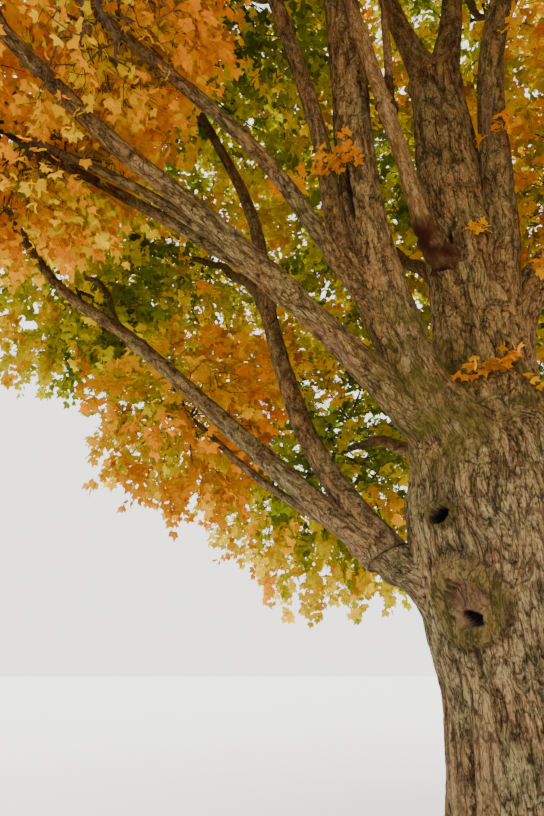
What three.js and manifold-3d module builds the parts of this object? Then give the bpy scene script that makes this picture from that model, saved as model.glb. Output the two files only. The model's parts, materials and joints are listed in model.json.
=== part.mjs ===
// A large open-grown maple in autumn leaf, standing at the edge of a field.
// Millimetres, +Z up. The origin is the middle of the flat cut under the trunk, at ground level.
// Headings are degrees anticlockwise from +X seen from above, and rises are degrees above level.
import * as THREE from "three";
import { mergeVertices } from "three/addons/utils/BufferGeometryUtils.js";
import Module from "manifold-3d";

const wasm = await Module();
wasm.setup();

// Driving sizes
const METRE = 1000;
const CLEAR = 0.3; // gap between solids that touch on the real tree
const TRUNK_TOP = 7.4 * METRE; // where the middle stem forks
const ROOT_FLARE = 0.24 * METRE; // how far the roots swell the foot beyond the trunk
const FLARE_HEIGHT = 0.26 * METRE;
const BUTTRESSES = 5;
const TRUNK_SIDES = 20;
const TRUNK_RINGS = 20;
const LIMB_SIDES = 7;
const LIMB_STEP = 1.1 * METRE; // length of limb between two rings
const COLLAR = 0.5; // swelling of a limb where it leaves its parent, as a share of its radius
const COLLAR_LENGTH = 3; // in limb radii
const TAPER = 0.8; // below 1 a limb thins sooner near its root
const WOBBLE = 0.006; // sideways bends of a limb, as a share of its length
const MASS_AHEAD = 0.35; // a mass's middle lies this share of its radius beyond its bough's tip
const TWIGS_PER_MASS = 8; // for a mass of the typical radius
const TYPICAL_MASS = 2.4 * METRE;
const TRIES = 10; // candidates for each twig's end, of which the loneliest is kept
const SPRAY = { length: 1.5 * METRE, width: 1.15 * METRE, thick: 0.036 * METRE };
const SPRAY_PLACES = [
  { at: 1, aside: 0 }, // share of the way along a twig, and how far the spray points sideways
  { at: 0.42, aside: 1 },
  { at: 0.75, aside: -1 },
];
const SPRAY_TRIES = 14; // ways that each spray is turned before it is left out
const TWIG_TIP = 0.016 * METRE;
const TWIG_CHECK = 0.1 * METRE; // spacing of the points at which a twig is tested against wood
const BALANCE = 0.45; // how much a twig's run back to the stem counts against joining it
const LEAF_CLEAR = 0.05 * METRE; // least space between a spray and a limb
const CELL_CLEAR = 2; // least space between a spray and the next mass's space

// The trunk's radius at heights above the ground: a swelling under the fork, then the middle stem
const TRUNK_GIRTH = [
  [0.0, 0.58],
  [0.6, 0.55],
  [1.2, 0.585],
  [1.9, 0.69],
  [2.7, 0.72],
  [3.1, 0.66],
  [3.5, 0.51],
  [4.0, 0.39],
  [5.0, 0.35],
  [6.2, 0.31],
  [7.4, 0.26],
];

// Two callus rings round old branch scars: height, heading, ring radius and thickness, in metres
const KNOTS = [
  { height: 1.9, heading: 225, ring: 0.185, thick: 0.075, tall: 1.15, hollow: 0.13 },
  { height: 2.56, heading: 216, ring: 0.1, thick: 0.04, tall: 0.8, hollow: 0.075 },
];

// Each limb leaves its parent at a height on the trunk, or at a share of another limb's length,
// and ends at its tip, in metres. Its girth is its radius at either end, and crown is the radius
// of its mass. A limb either bends through the points of via, or sets off and arrives on given
// headings and rises, with pull saying how strongly each of the two holds.
const LIMBS = [
  { name: "left_leader", from: "trunk", at: 2.75, via: [[-0.59, -0.4, 3.6], [-0.95, -0.5, 5.2], [-1.1, -0.8, 7.55]],
    tip: [-1.5, -1.15, 12.4], girth: [0.2, 0.14], crown: 2.4 },
  { name: "long_left_bough", from: "trunk", at: 2.8, via: [[-0.77, -0.42, 3.47], [-2.22, -0.95, 4.73], [-3.1, -1.3, 5.35]],
    tip: [-4.35, -2.1, 6.4], girth: [0.15, 0.045], crown: 2.3 },
  { name: "low_left_bough", from: "trunk", at: 1.8,
    via: [[-0.85, 0.02, 2.3], [-1.53, 0.2, 2.91], [-3.2, 0.78, 4.64], [-4.2, 1.08, 5.53]],
    tip: [-5.1, 1.4, 6.85], girth: [0.12, 0.044], crown: 2.3 },
  { name: "right_leader", from: "trunk", at: 3.6, via: [[0.3, -0.2, 4.9], [0.66, -0.3, 8.0]],
    tip: [2.7, -0.6, 12.0], girth: [0.175, 0.08], crown: 2.5 },
  { name: "right_bough", from: "trunk", at: 3.5, via: [[0.72, -0.2, 4.92], [2.4, -0.6, 6.3]],
    tip: [4.2, -1.1, 6.7], girth: [0.16, 0.055], crown: 2.5 },
  { name: "centre_left_leader", from: "trunk", at: 7.3, off: [172, 68], tip: [-0.75, 0.85, 13.9],
    on: [120, 80], pull: [0.5, 0.8], girth: [0.125, 0.06], crown: 2.3 },
  { name: "centre_right_leader", from: "trunk", at: 7.3, off: [10, 70], tip: [1.2, -0.1, 13.8],
    on: [350, 80], pull: [0.5, 0.8], girth: [0.135, 0.06], crown: 2.3 },
  { name: "low_back_left_bough", from: "trunk", at: 2.8, off: [104, 38], tip: [-0.6, 4.1, 4.6],
    on: [99, 10], pull: [0.9, 0.8], girth: [0.11, 0.05], crown: 2.3 },
  { name: "low_back_right_bough", from: "trunk", at: 3.0, off: [58, 42], tip: [2.2, 4.05, 4.9],
    on: [62, 12], pull: [0.9, 0.8], girth: [0.13, 0.05], crown: 2.4 },
  { name: "low_right_bough", from: "trunk", at: 2.8, off: [22, 38], tip: [4.0, 1.9, 4.8],
    on: [26, 12], pull: [0.9, 0.8], girth: [0.14, 0.055], crown: 2.4 },
  { name: "back_bough", from: "trunk", at: 4.3, off: [80, 52], tip: [0.1, 4.4, 8.6],
    on: [90, 42], pull: [0.8, 0.8], girth: [0.12, 0.055], crown: 2.65 },
  { name: "back_right_bough", from: "trunk", at: 3.9, off: [42, 50], tip: [3.1, 3.3, 8.4],
    on: [46, 48], pull: [0.8, 0.8], girth: [0.12, 0.055], crown: 2.5 },
  { name: "left_leader_fork", from: "left_leader", at: 0.17, via: [[-1.15, -0.5, 4.8], [-1.37, -0.6, 6.2]],
    tip: [-2.6, -1.3, 10.3], girth: [0.095, 0.06], crown: 2.4 },
  { name: "slanting_bough", from: "left_leader", at: 0.15, via: [[-1.21, -0.6, 4.63], [-1.87, -1.1, 5.3]],
    tip: [-3.03, -1.7, 6.03], girth: [0.095, 0.045], crown: 1.35 },
  { name: "front_bough", from: "left_leader", at: 0.55, off: [250, 45], tip: [-1.9, -4.1, 10.2],
    on: [250, 32], pull: [0.8, 0.8], girth: [0.09, 0.05], crown: 2.5 },
  { name: "long_left_middle_branch", from: "long_left_bough", at: 0.44, via: [[-2.82, -1.0, 5.03]],
    tip: [-3.5, -0.95, 5.45], girth: [0.052, 0.036], crown: 1.0 },
  { name: "long_left_lower_branch", from: "long_left_bough", at: 0.38, via: [[-2.62, -0.7, 4.96]],
    tip: [-4.3, -0.15, 6.4], girth: [0.06, 0.036], crown: 1.45 },
  { name: "upper_left_branch", from: "long_left_bough", at: 0.88, off: [165, 62],
    tip: [-5.0, -0.9, 9.0], on: [170, 58], pull: [0.8, 0.8], girth: [0.055, 0.04], crown: 2.5 },
  { name: "crossing_bough", from: "low_left_bough", at: 0.14, via: [[-1.43, 0.4, 3.42], [-1.79, 0.8, 4.9], [-2.0, 1.15, 6.5]],
    tip: [-2.9, 1.9, 9.2], girth: [0.11, 0.055], crown: 2.5 },
  { name: "low_left_under_branch", from: "low_left_bough", at: 0.12, via: [[-1.8, 0.6, 3.05]],
    tip: [-2.6, 1.8, 4.1], girth: [0.046, 0.032], crown: 1.1 },
  { name: "low_left_outer_branch", from: "low_left_bough", at: 0.58, off: [140, 25],
    tip: [-4.2, 2.2, 6.35], on: [140, 25], pull: [0.8, 0.8], girth: [0.045, 0.032], crown: 1.55 },
  { name: "back_left_branch", from: "crossing_bough", at: 0.42, off: [115, 48],
    tip: [-3.1, 3.9, 7.9], on: [122, 35], pull: [0.8, 0.8], girth: [0.07, 0.045], crown: 2.5 },
  { name: "upper_back_left_branch", from: "centre_left_leader", at: 0.35, off: [135, 48],
    tip: [-2.0, 2.3, 12.0], on: [130, 50], pull: [0.8, 0.8], girth: [0.075, 0.05], crown: 2.4 },
  { name: "upper_back_right_branch", from: "centre_right_leader", at: 0.3, off: [62, 48],
    tip: [1.9, 2.6, 12.0], on: [56, 50], pull: [0.8, 0.8], girth: [0.075, 0.05], crown: 2.4 },
  { name: "upper_front_branch", from: "centre_right_leader", at: 0.32, off: [283, 48],
    tip: [1.0, -2.9, 12.2], on: [285, 50], pull: [0.8, 0.8], girth: [0.075, 0.05], crown: 2.5 },
  { name: "front_right_branch", from: "right_leader", at: 0.5, off: [310, 42],
    tip: [3.5, -3.1, 9.5], on: [318, 32], pull: [0.8, 0.8], girth: [0.075, 0.05], crown: 2.5 },
  { name: "upper_right_branch", from: "right_bough", at: 0.45, off: [12, 62],
    tip: [4.3, 0.7, 8.9], on: [8, 50], pull: [0.8, 0.8], girth: [0.09, 0.05], crown: 2.65 },
  { name: "low_front_branch", from: "right_bough", at: 0.35, off: [290, 36],
    tip: [0.9, -3.9, 6.7], on: [262, 22], pull: [0.8, 0.8], girth: [0.085, 0.045], crown: 2.4 },
  { name: "low_front_right_branch", from: "right_bough", at: 0.6, off: [318, 12],
    tip: [3.6, -3.5, 6.2], on: [305, 8], pull: [0.8, 0.8], girth: [0.07, 0.045], crown: 2.3 },
];

// The barkless dead limb and its fork, which stand on the middle stem
const DEAD_LIMB = { name: "dead_limb", from: "trunk", at: 4.85, via: [[-0.34, -0.33, 5.0], [-0.66, -0.75, 5.73]],
  tip: [-1.12, -1.22, 7.1], girth: [0.08, 0.062] };
const DEAD_FORK = { name: "dead_limb_fork", from: "dead_limb", at: 0.6, via: [[-0.68, -0.74, 6.75]],
  tip: [-0.7, -0.8, 7.55], girth: [0.05, 0.035] };

const BARK = new THREE.MeshStandardMaterial({ color: 0x7a6a58, roughness: 0.95, metalness: 0 });
const DEAD_WOOD = new THREE.MeshStandardMaterial({ color: 0x9a7650, roughness: 0.8, metalness: 0 });
const LEAF_TINTS = {
  orange: new THREE.MeshStandardMaterial({ color: 0xd98318, roughness: 0.7, metalness: 0 }),
  gold: new THREE.MeshStandardMaterial({ color: 0xcf9f22, roughness: 0.7, metalness: 0 }),
  green: new THREE.MeshStandardMaterial({ color: 0x8f8f26, roughness: 0.7, metalness: 0 }),
};

// A seeded random number from 0 to 1, the same on every machine.
function seeded(seed) {
  let state = seed >>> 0;
  return () => {
    state = (state + 0x6d2b79f5) >>> 0;
    let mixed = Math.imul(state ^ (state >>> 15), 1 | state);
    mixed = (mixed + Math.imul(mixed ^ (mixed >>> 7), 61 | mixed)) ^ mixed;
    return ((mixed ^ (mixed >>> 14)) >>> 0) / 4294967296;
  };
}

function seedOf(name) {
  let sum = 7;
  for (const letter of name) sum = (Math.imul(sum, 31) + letter.charCodeAt(0)) >>> 0;
  return sum;
}

function direction([heading, rise]) {
  const h = THREE.MathUtils.degToRad(heading);
  const r = THREE.MathUtils.degToRad(rise);
  return new THREE.Vector3(Math.cos(h) * Math.cos(r), Math.sin(h) * Math.cos(r), Math.sin(r));
}

function metres(x, y, z) {
  return new THREE.Vector3(x, y, z).multiplyScalar(METRE);
}

// Value at x of a table of [x, value] rows, eased between the rows.
function tableAt(rows, x) {
  if (x <= rows[0][0]) return rows[0][1];
  for (let i = 1; i < rows.length; i++) {
    const [x0, v0] = rows[i - 1];
    const [x1, v1] = rows[i];
    if (x <= x1) return THREE.MathUtils.lerp(v0, v1, THREE.MathUtils.smoothstep(x, x0, x1));
  }
  return rows.at(-1)[1];
}

// The trunk's axis: a slight lean out and back, so that it isn't a plumb line.
function trunkAxis(height) {
  const share = height / TRUNK_TOP;
  return new THREE.Vector3(0.06 * METRE * Math.sin(Math.PI * share), 0.04 * METRE * share, height);
}

// The trunk's radius at a height and a heading, with the root flare and its buttresses.
function trunkRadius(height, angle) {
  const flare = ROOT_FLARE * Math.exp(-height / FLARE_HEIGHT);
  const buttress = 0.5 + 0.5 * Math.cos(BUTTRESSES * angle + 0.8 * Math.sin(2 * angle));
  return tableAt(TRUNK_GIRTH, height / METRE) * METRE + flare * (0.35 + buttress);
}

// A closed surface swept along a line: at(share) gives the middle, the two cross directions and
// out(angle) the radius there.
function sweep(sides, rings, at) {
  const shape = new THREE.CylinderGeometry(1, 1, 1, sides, rings);
  const position = shape.getAttribute("position");
  const v = new THREE.Vector3();
  for (let i = 0; i < position.count; i++) {
    v.fromBufferAttribute(position, i);
    const { middle, side, up, out } = at(v.y + 0.5);
    const radius = Math.hypot(v.x, v.z);
    const angle = Math.atan2(-v.z, v.x);
    const reach = radius * out(angle);
    v.copy(middle).addScaledVector(side, Math.cos(angle) * reach).addScaledVector(up, Math.sin(angle) * reach);
    position.setXYZ(i, v.x, v.y, v.z);
  }
  return solidOf(shape);
}

// A three.js geometry as a manifold solid.
function solidOf(geometry) {
  const bare = new THREE.BufferGeometry();
  bare.setAttribute("position", geometry.getAttribute("position"));
  bare.setIndex(geometry.getIndex());
  const merged = mergeVertices(bare, 1e-2);
  const triVerts = new Uint32Array(merged.getIndex().array);
  return new wasm.Manifold(
    new wasm.Mesh({ numProp: 3, vertProperties: merged.getAttribute("position").array, triVerts }),
  );
}

// A manifold solid as a named three.js mesh.
function meshOf(name, solid, material) {
  const made = solid.getMesh();
  const geometry = new THREE.BufferGeometry();
  geometry.setAttribute("position", new THREE.BufferAttribute(new Float32Array(made.vertProperties), 3));
  geometry.setIndex(new THREE.BufferAttribute(new Uint32Array(made.triVerts), 1));
  geometry.computeVertexNormals();
  const mesh = new THREE.Mesh(geometry, material);
  mesh.name = name;
  return mesh;
}

// The largest body of a solid, so that no scrap of a cut stays.
function mainBody(solid) {
  return solid.decompose().sort((a, b) => b.volume() - a.volume())[0];
}

function trunkSolid(grown) {
  const rise = (share) => TRUNK_TOP * Math.pow(share, 1.15);
  return sweep(TRUNK_SIDES, TRUNK_RINGS, (share) => {
    const height = rise(share);
    const middle = trunkAxis(height);
    if (grown && share === 0) middle.z -= METRE;
    if (grown && share === 1) middle.z += grown;
    return {
      middle,
      side: new THREE.Vector3(1, 0, 0),
      up: new THREE.Vector3(0, 1, 0),
      out: (angle) => trunkRadius(height, angle) + grown,
    };
  });
}

// The callus ring of a knot: a squashed torus that stands a little out of the bark.
function knotParts(knot) {
  const height = knot.height * METRE;
  const out = direction([knot.heading, 0]);
  const seat = trunkAxis(height).addScaledVector(out, trunkRadius(height, 0) - 0.01 * METRE);
  const turn = new THREE.Quaternion().setFromUnitVectors(new THREE.Vector3(0, 0, 1), out);
  const place = new THREE.Matrix4().compose(seat, turn, new THREE.Vector3(1, 1, 1));
  const upright = new THREE.Matrix4().makeScale(1, knot.tall, 1);
  const flat = new THREE.Matrix4().makeRotationZ(Math.PI / 2);
  const set = (geometry) => solidOf(geometry.applyMatrix4(upright).applyMatrix4(flat).applyMatrix4(place));
  return {
    ring: set(new THREE.TorusGeometry(knot.ring * METRE, knot.thick * METRE, 6, 12)),
    hollow: set(new THREE.IcosahedronGeometry(knot.hollow * METRE, 1)),
  };
}

// The line of a limb from its start to its tip, with slow sideways bends where none are given.
// buried is how much of it lies inside its parent. Returns its points, and its radius at a share
// of its length.
function limbLine(spec, start, buried) {
  const tip = metres(...spec.tip);
  const chord = start.distanceTo(tip);
  const curve = spec.via
    ? new THREE.CatmullRomCurve3([start, ...spec.via.map((p) => metres(...p)), tip], false, "centripetal")
    : new THREE.CubicBezierCurve3(
        start,
        start.clone().addScaledVector(direction(spec.off), (chord * spec.pull[0]) / 3),
        tip.clone().addScaledVector(direction(spec.on), (-chord * spec.pull[1]) / 3),
        tip,
      );
  const random = seeded(seedOf(spec.name));
  const [phaseA, phaseB] = [random() * 2 * Math.PI, random() * 2 * Math.PI];
  const along = tip.clone().sub(start).normalize();
  const side = new THREE.Vector3().crossVectors(along, new THREE.Vector3(0.1, 0.2, 1)).normalize();
  const up = new THREE.Vector3().crossVectors(side, along);
  const length = curve.getLength();
  const wobble = spec.via ? 0 : WOBBLE;
  const point = (share) => {
    const sway = wobble * length * Math.sin(Math.PI * share);
    return curve
      .getPointAt(share)
      .addScaledVector(side, sway * Math.sin(3 * Math.PI * share + phaseA))
      .addScaledVector(up, sway * Math.sin(5 * Math.PI * share + phaseB));
  };
  const [r0, r1] = spec.girth.map((r) => r * METRE);
  const radius = (share) => {
    const out = Math.max(0, share * length - buried);
    return THREE.MathUtils.lerp(r0, r1, Math.pow(share, TAPER)) + COLLAR * r0 * Math.exp(-out / (COLLAR_LENGTH * r0));
  };
  return { name: spec.name, point, radius, length, tip, side, up, crown: spec.crown };
}

// A limb's solid, grown outwards by a clearance where it is used to cut another.
function limbSolid(line, grown = 0, rings = Math.max(4, Math.round(line.length / LIMB_STEP))) {
  const step = 1e-3;
  return sweep(LIMB_SIDES, rings, (share) => {
    const ahead = line.point(Math.min(1, share + step)).sub(line.point(Math.max(0, share - step))).normalize();
    const side = line.side.clone().addScaledVector(ahead, -line.side.dot(ahead)).normalize();
    const middle = line.point(share);
    if (grown && share % 1 === 0) middle.addScaledVector(ahead, share ? grown : -grown);
    return { middle, side, up: new THREE.Vector3().crossVectors(ahead, side), out: () => line.radius(share) + grown };
  });
}

// Works out every limb's line, each starting on its parent's axis.
function allLines(specs) {
  const lines = new Map();
  for (const spec of specs) {
    const height = spec.at * METRE;
    const parent = lines.get(spec.from) ?? {
      point: () => trunkAxis(height),
      radius: () => tableAt(TRUNK_GIRTH, spec.at) * METRE,
    };
    lines.set(spec.name, limbLine(spec, parent.point(spec.at), parent.radius(spec.at)));
  }
  return lines;
}

// The masses: each a ball round a point just beyond its bough's tip.
function allMasses(lines) {
  const masses = [];
  for (const line of lines.values()) {
    if (!line.crown) continue;
    const radius = line.crown * METRE;
    const ahead = line.tip.clone().sub(line.point(0.999)).normalize();
    masses.push({ line, ahead, radius, centre: line.tip.clone().addScaledVector(ahead, MASS_AHEAD * radius) });
  }
  return masses;
}

// How far inside a mass's own space a point lies: its ball, cut by a plane towards each neighbour.
function depthInside(mass, masses, p) {
  let depth = mass.radius - p.distanceTo(mass.centre);
  for (const other of masses) {
    const apart = mass.centre.distanceTo(other.centre);
    if (other === mass || apart > mass.radius + other.radius) continue;
    const power =
      (p.distanceToSquared(other.centre) - other.radius ** 2 - p.distanceToSquared(mass.centre) + mass.radius ** 2) /
      (2 * apart);
    depth = Math.min(depth, power);
  }
  return depth;
}

// Balls along the limbs and the trunk, which tell how near wood is to a point.
function woodBalls(lines) {
  const balls = [];
  for (const line of lines.values()) {
    const steps = Math.ceil(line.length / (0.12 * METRE));
    for (let i = 0; i <= steps; i++) {
      balls.push({ name: line.name, at: line.point(i / steps), radius: line.radius(i / steps) });
    }
  }
  for (let height = 0; height <= TRUNK_TOP; height += 0.2 * METRE) {
    balls.push({ name: "trunk", at: trunkAxis(height), radius: trunkRadius(height, 0) });
  }
  return balls;
}

function clearOfWood(p, balls, gap) {
  return balls.every((ball) => p.distanceToSquared(ball.at) > (ball.radius + gap) ** 2);
}

// Seeded points spread through a mass's space, each the loneliest of a few tries.
function twigEnds(mass, masses, balls, count) {
  const random = seeded(seedOf(mass.line.name));
  const ends = [];
  for (let misses = 0; ends.length < count && misses < 60 * count; ) {
    let best = null;
    for (let t = 0; t < TRIES; ) {
      const p = new THREE.Vector3(random() * 2 - 1, random() * 2 - 1, random() * 2 - 1);
      if (p.length() > 1 || p.length() < 0.25) continue;
      t++;
      p.multiplyScalar(mass.radius).add(mass.centre);
      if (depthInside(mass, masses, p) < CELL_CLEAR + SPRAY.width / 4 || !clearOfWood(p, balls, LEAF_CLEAR)) {
        misses++;
        continue;
      }
      const lonely = Math.min(mass.radius, ...ends.map((e) => e.distanceTo(p)));
      if (!best || lonely > best.lonely) best = { p, lonely };
    }
    if (best) ends.push(best.p);
  }
  return ends;
}

// Whether a straight twig between two points keeps off the wood.
function twigFits(a, b, balls) {
  const steps = Math.ceil(a.distanceTo(b) / TWIG_CHECK);
  for (let i = 0; i <= steps; i++) {
    if (!clearOfWood(a.clone().lerp(b, i / steps), balls, LEAF_CLEAR)) return false;
  }
  return true;
}

// Joins each end to the twigs that already stand, nearest and straightest back to the stem first.
// An end that no twig can reach is left out.
function growTwigs(root, ends, balls) {
  const nodes = [{ at: root, from: -1, run: 0 }];
  const waiting = new Set(ends);
  while (waiting.size) {
    let best = null;
    for (const end of waiting) {
      nodes.forEach((node, i) => {
        const gap = node.at.distanceTo(end);
        const cost = gap + BALANCE * (node.run + gap);
        if (best && cost >= best.cost) return;
        if (twigFits(node.at, end, balls)) best = { cost, end, i, run: node.run + gap };
      });
    }
    if (!best) break;
    nodes.push({ at: best.end, from: best.i, run: best.run });
    waiting.delete(best.end);
  }
  return nodes;
}

// A three-sided twig through two or more points, with a radius at each.
function twigSolid(points, radii) {
  const last = points.length - 1;
  const reference = points[last].clone().sub(points[0]).normalize();
  const across = new THREE.Vector3().crossVectors(reference, new THREE.Vector3(0.3, 0.2, 1)).normalize();
  return sweep(3, last, (share) => {
    const i = Math.round(share * last);
    const ahead = points[Math.min(last, i + 1)].clone().sub(points[Math.max(0, i - 1)]).normalize();
    const side = across.clone().addScaledVector(ahead, -across.dot(ahead)).normalize();
    return { middle: points[i], side, up: new THREE.Vector3().crossVectors(ahead, side), out: () => radii[i] };
  });
}

// Where a spray stands: its root, and the directions along it, across it and up from it.
function sprayFrame(root, ahead, tilt) {
  const side = new THREE.Vector3().crossVectors(new THREE.Vector3(0, 0, 1), ahead).normalize();
  side.applyAxisAngle(ahead, tilt);
  return { root, ahead, side, up: new THREE.Vector3().crossVectors(ahead, side) };
}

// A point of a spray, at shares of its length and of half its width.
function sprayPoint(frame, size, along, across) {
  return frame.root
    .clone()
    .addScaledVector(frame.ahead, along * size.length)
    .addScaledVector(frame.side, (across * size.width) / 2);
}

// A spray's solid: a flattened tetrahedron, which from above shows a kite from root to tip.
function spraySolid(frame, size) {
  const shape = new THREE.TetrahedronGeometry(Math.sqrt(3)).rotateZ(-Math.PI / 4);
  shape.scale(size.length / Math.sqrt(8), size.width / Math.sqrt(8), size.thick / 2);
  shape.translate(size.length / 2, 0, 0);
  const place = new THREE.Matrix4().makeBasis(frame.ahead, frame.side, frame.up).setPosition(frame.root);
  return solidOf(shape.applyMatrix4(place));
}

// Whether a spray keeps to its mass's space and off the wood.
function sprayFits(frame, size, mass, masses, balls) {
  for (const along of [0, 0.25, 0.5, 0.75, 1]) {
    const half = 1 - Math.abs(2 * along - 1);
    for (const across of [-half, 0, half]) {
      const p = sprayPoint(frame, size, along, across);
      if (depthInside(mass, masses, p) < CELL_CLEAR || !clearOfWood(p, balls, LEAF_CLEAR)) return false;
    }
  }
  return true;
}

// Gives each node the thickness of its twig, which grows with all that it carries, and picks
// the child in which the twig runs on.
function thicken(nodes) {
  for (const node of nodes) node.load = 1;
  for (let i = nodes.length - 1; i > 0; i--) nodes[nodes[i].from].load += nodes[i].load;
  nodes.forEach((node, i) => {
    node.radius = TWIG_TIP * Math.sqrt(node.load);
    node.children = nodes.filter((other) => other.from === i).sort((a, b) => b.load - a.load);
  });
}

// The twigs as chains: each runs on from node to node, and the others branch off it.
function twigChains(foot, footRadius, nodes) {
  const chains = [];
  const follow = (points, radii, first) => {
    const chain = { points, radii, nodes: [] };
    chains.push(chain);
    for (let node = first; node; node = node.children[0]) {
      chain.points.push(node.at);
      chain.radii.push(node.radius);
      chain.nodes.push(node);
      node.chain = chain;
      for (const branch of node.children.slice(1)) {
        follow([node.at], [Math.min(branch.radius, 0.55 * node.radius)], branch);
      }
    }
  };
  follow([foot], [footRadius], nodes[0]);
  for (const chain of chains) chain.solid = twigSolid(chain.points, chain.radii);
  return chains;
}

// One mass: a stem from the bough's tip, twigs from it, and sprays at and along the twigs.
function massSolid(mass, masses, balls, wood) {
  const share = (mass.radius / TYPICAL_MASS) ** 2;
  const ends = twigEnds(mass, masses, balls, Math.max(4, Math.round(TWIGS_PER_MASS * share)));
  const foot = mass.line.tip.clone().addScaledVector(mass.ahead, CLEAR);
  const nodes = growTwigs(foot.clone().addScaledVector(mass.ahead, 0.3 * mass.radius), ends, balls);
  thicken(nodes);
  const chains = twigChains(foot, Math.min(mass.line.radius(1) * 0.9, nodes[0].radius * 1.2), nodes);
  const pieces = chains.map((chain) => chain.solid);
  const random = seeded(seedOf(mass.line.name) + 1);
  const scale = THREE.MathUtils.clamp(mass.radius / TYPICAL_MASS, 0.55, 1);
  const size = { length: SPRAY.length * scale, width: SPRAY.width * scale, thick: SPRAY.thick };
  for (const node of nodes.slice(1)) {
    const from = nodes[node.from].at;
    const ahead = node.at.clone().sub(from).normalize();
    const cross = new THREE.Vector3().crossVectors(ahead, new THREE.Vector3(0, 0, 1)).normalize();
    for (const { at, aside } of SPRAY_PLACES) {
      if (at === 1 && node.children.length) continue;
      const aim = ahead.clone().multiplyScalar(1 - 0.4 * Math.abs(aside)).addScaledVector(cross, aside).normalize();
      const root = from.clone().lerp(node.at, at);
      for (let t = 0; t < SPRAY_TRIES; t++) {
        const loose = new THREE.Vector3(random() - 0.5, random() - 0.5, random() - 0.5);
        const turned = aim.clone().addScaledVector(loose, 0.3 + 0.15 * t).normalize();
        const sunk = root.clone().addScaledVector(turned, -0.3 * node.radius);
        const frame = sprayFrame(sunk, turned, (random() - 0.5) * 1.8);
        if (!sprayFits(frame, size, mass, masses, balls)) continue;
        const solid = spraySolid(frame, size);
        const others = [...wood, ...pieces].filter((other) => other !== node.chain.solid);
        if (others.some((other) => !other.intersect(solid).isEmpty())) continue;
        pieces.push(solid);
        break;
      }
    }
  }
  return mainBody(wasm.Manifold.union(pieces));
}

// Which leaf colour a mass mostly shows: orange low and outside, greener inside and above.
function massTint(mass) {
  const out = Math.hypot(mass.centre.x, mass.centre.y) / METRE;
  if (mass.line.name === "slanting_bough" || mass.line.name === "crossing_bough") return LEAF_TINTS.green;
  return out > 4.6 && mass.centre.z < 7.5 * METRE ? LEAF_TINTS.orange : LEAF_TINTS.gold;
}

const lines = allLines([...LIMBS, DEAD_LIMB, DEAD_FORK]);
const tree = new THREE.Group();

// The trunk, with its knots
let trunk = trunkSolid(0);
for (const knot of KNOTS) {
  const { ring, hollow } = knotParts(knot);
  trunk = trunk.add(ring).subtract(hollow);
}
tree.add(meshOf("trunk", mainBody(trunk), BARK));

// The limbs, each cut clear of the wood that it grows from or passes
const standing = [trunkSolid(CLEAR)];
for (const spec of [...LIMBS, DEAD_LIMB]) {
  const line = lines.get(spec.name);
  let limb = limbSolid(line);
  let grown = limbSolid(line, CLEAR);
  if (spec === DEAD_LIMB) limb = limb.add(limbSolid(lines.get(DEAD_FORK.name), 0, 4));
  for (const wood of standing) limb = limb.subtract(wood);
  standing.push(grown);
  tree.add(meshOf(spec.name, mainBody(limb), spec === DEAD_LIMB ? DEAD_WOOD : BARK));
}

// The foliage
const masses = allMasses(lines);
const balls = woodBalls(lines);
for (const mass of masses) {
  tree.add(meshOf("foliage_" + mass.line.name, massSolid(mass, masses, balls, standing), massTint(mass)));
}

export default tree;
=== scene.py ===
import json
import logging
import math
from dataclasses import dataclass
from enum import Enum
from typing import Callable, Sequence

import bpy
import numpy as np
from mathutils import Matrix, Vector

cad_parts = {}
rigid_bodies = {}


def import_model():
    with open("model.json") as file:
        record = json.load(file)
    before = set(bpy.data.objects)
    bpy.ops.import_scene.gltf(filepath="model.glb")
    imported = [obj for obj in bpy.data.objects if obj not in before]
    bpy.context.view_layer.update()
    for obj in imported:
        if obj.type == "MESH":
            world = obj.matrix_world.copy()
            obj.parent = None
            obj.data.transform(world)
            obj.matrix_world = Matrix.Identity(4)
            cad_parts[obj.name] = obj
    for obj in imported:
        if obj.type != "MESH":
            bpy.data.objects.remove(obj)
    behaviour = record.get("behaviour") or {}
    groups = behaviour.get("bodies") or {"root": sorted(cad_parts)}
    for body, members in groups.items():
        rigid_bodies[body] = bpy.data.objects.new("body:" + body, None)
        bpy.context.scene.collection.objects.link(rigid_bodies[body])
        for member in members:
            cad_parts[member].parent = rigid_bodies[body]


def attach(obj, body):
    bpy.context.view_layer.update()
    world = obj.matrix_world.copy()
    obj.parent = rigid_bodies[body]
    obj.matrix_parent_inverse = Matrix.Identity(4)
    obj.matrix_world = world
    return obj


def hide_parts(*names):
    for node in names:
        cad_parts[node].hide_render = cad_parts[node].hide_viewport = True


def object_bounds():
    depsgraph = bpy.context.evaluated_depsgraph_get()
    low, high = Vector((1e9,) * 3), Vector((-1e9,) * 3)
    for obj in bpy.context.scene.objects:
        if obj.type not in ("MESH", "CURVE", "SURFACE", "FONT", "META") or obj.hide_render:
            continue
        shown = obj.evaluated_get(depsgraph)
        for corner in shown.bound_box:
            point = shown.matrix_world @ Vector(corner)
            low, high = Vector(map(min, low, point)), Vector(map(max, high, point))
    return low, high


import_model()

CAD_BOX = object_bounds()
LOG = logging.getLogger("maple")
BODY = "root"
MASK = 0xFFFFFFFF
TINY = 1e-9  # the least length to divide by
ANY_WAY = (0.31, 0.17, 0.94)  # no twig runs just so

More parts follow.
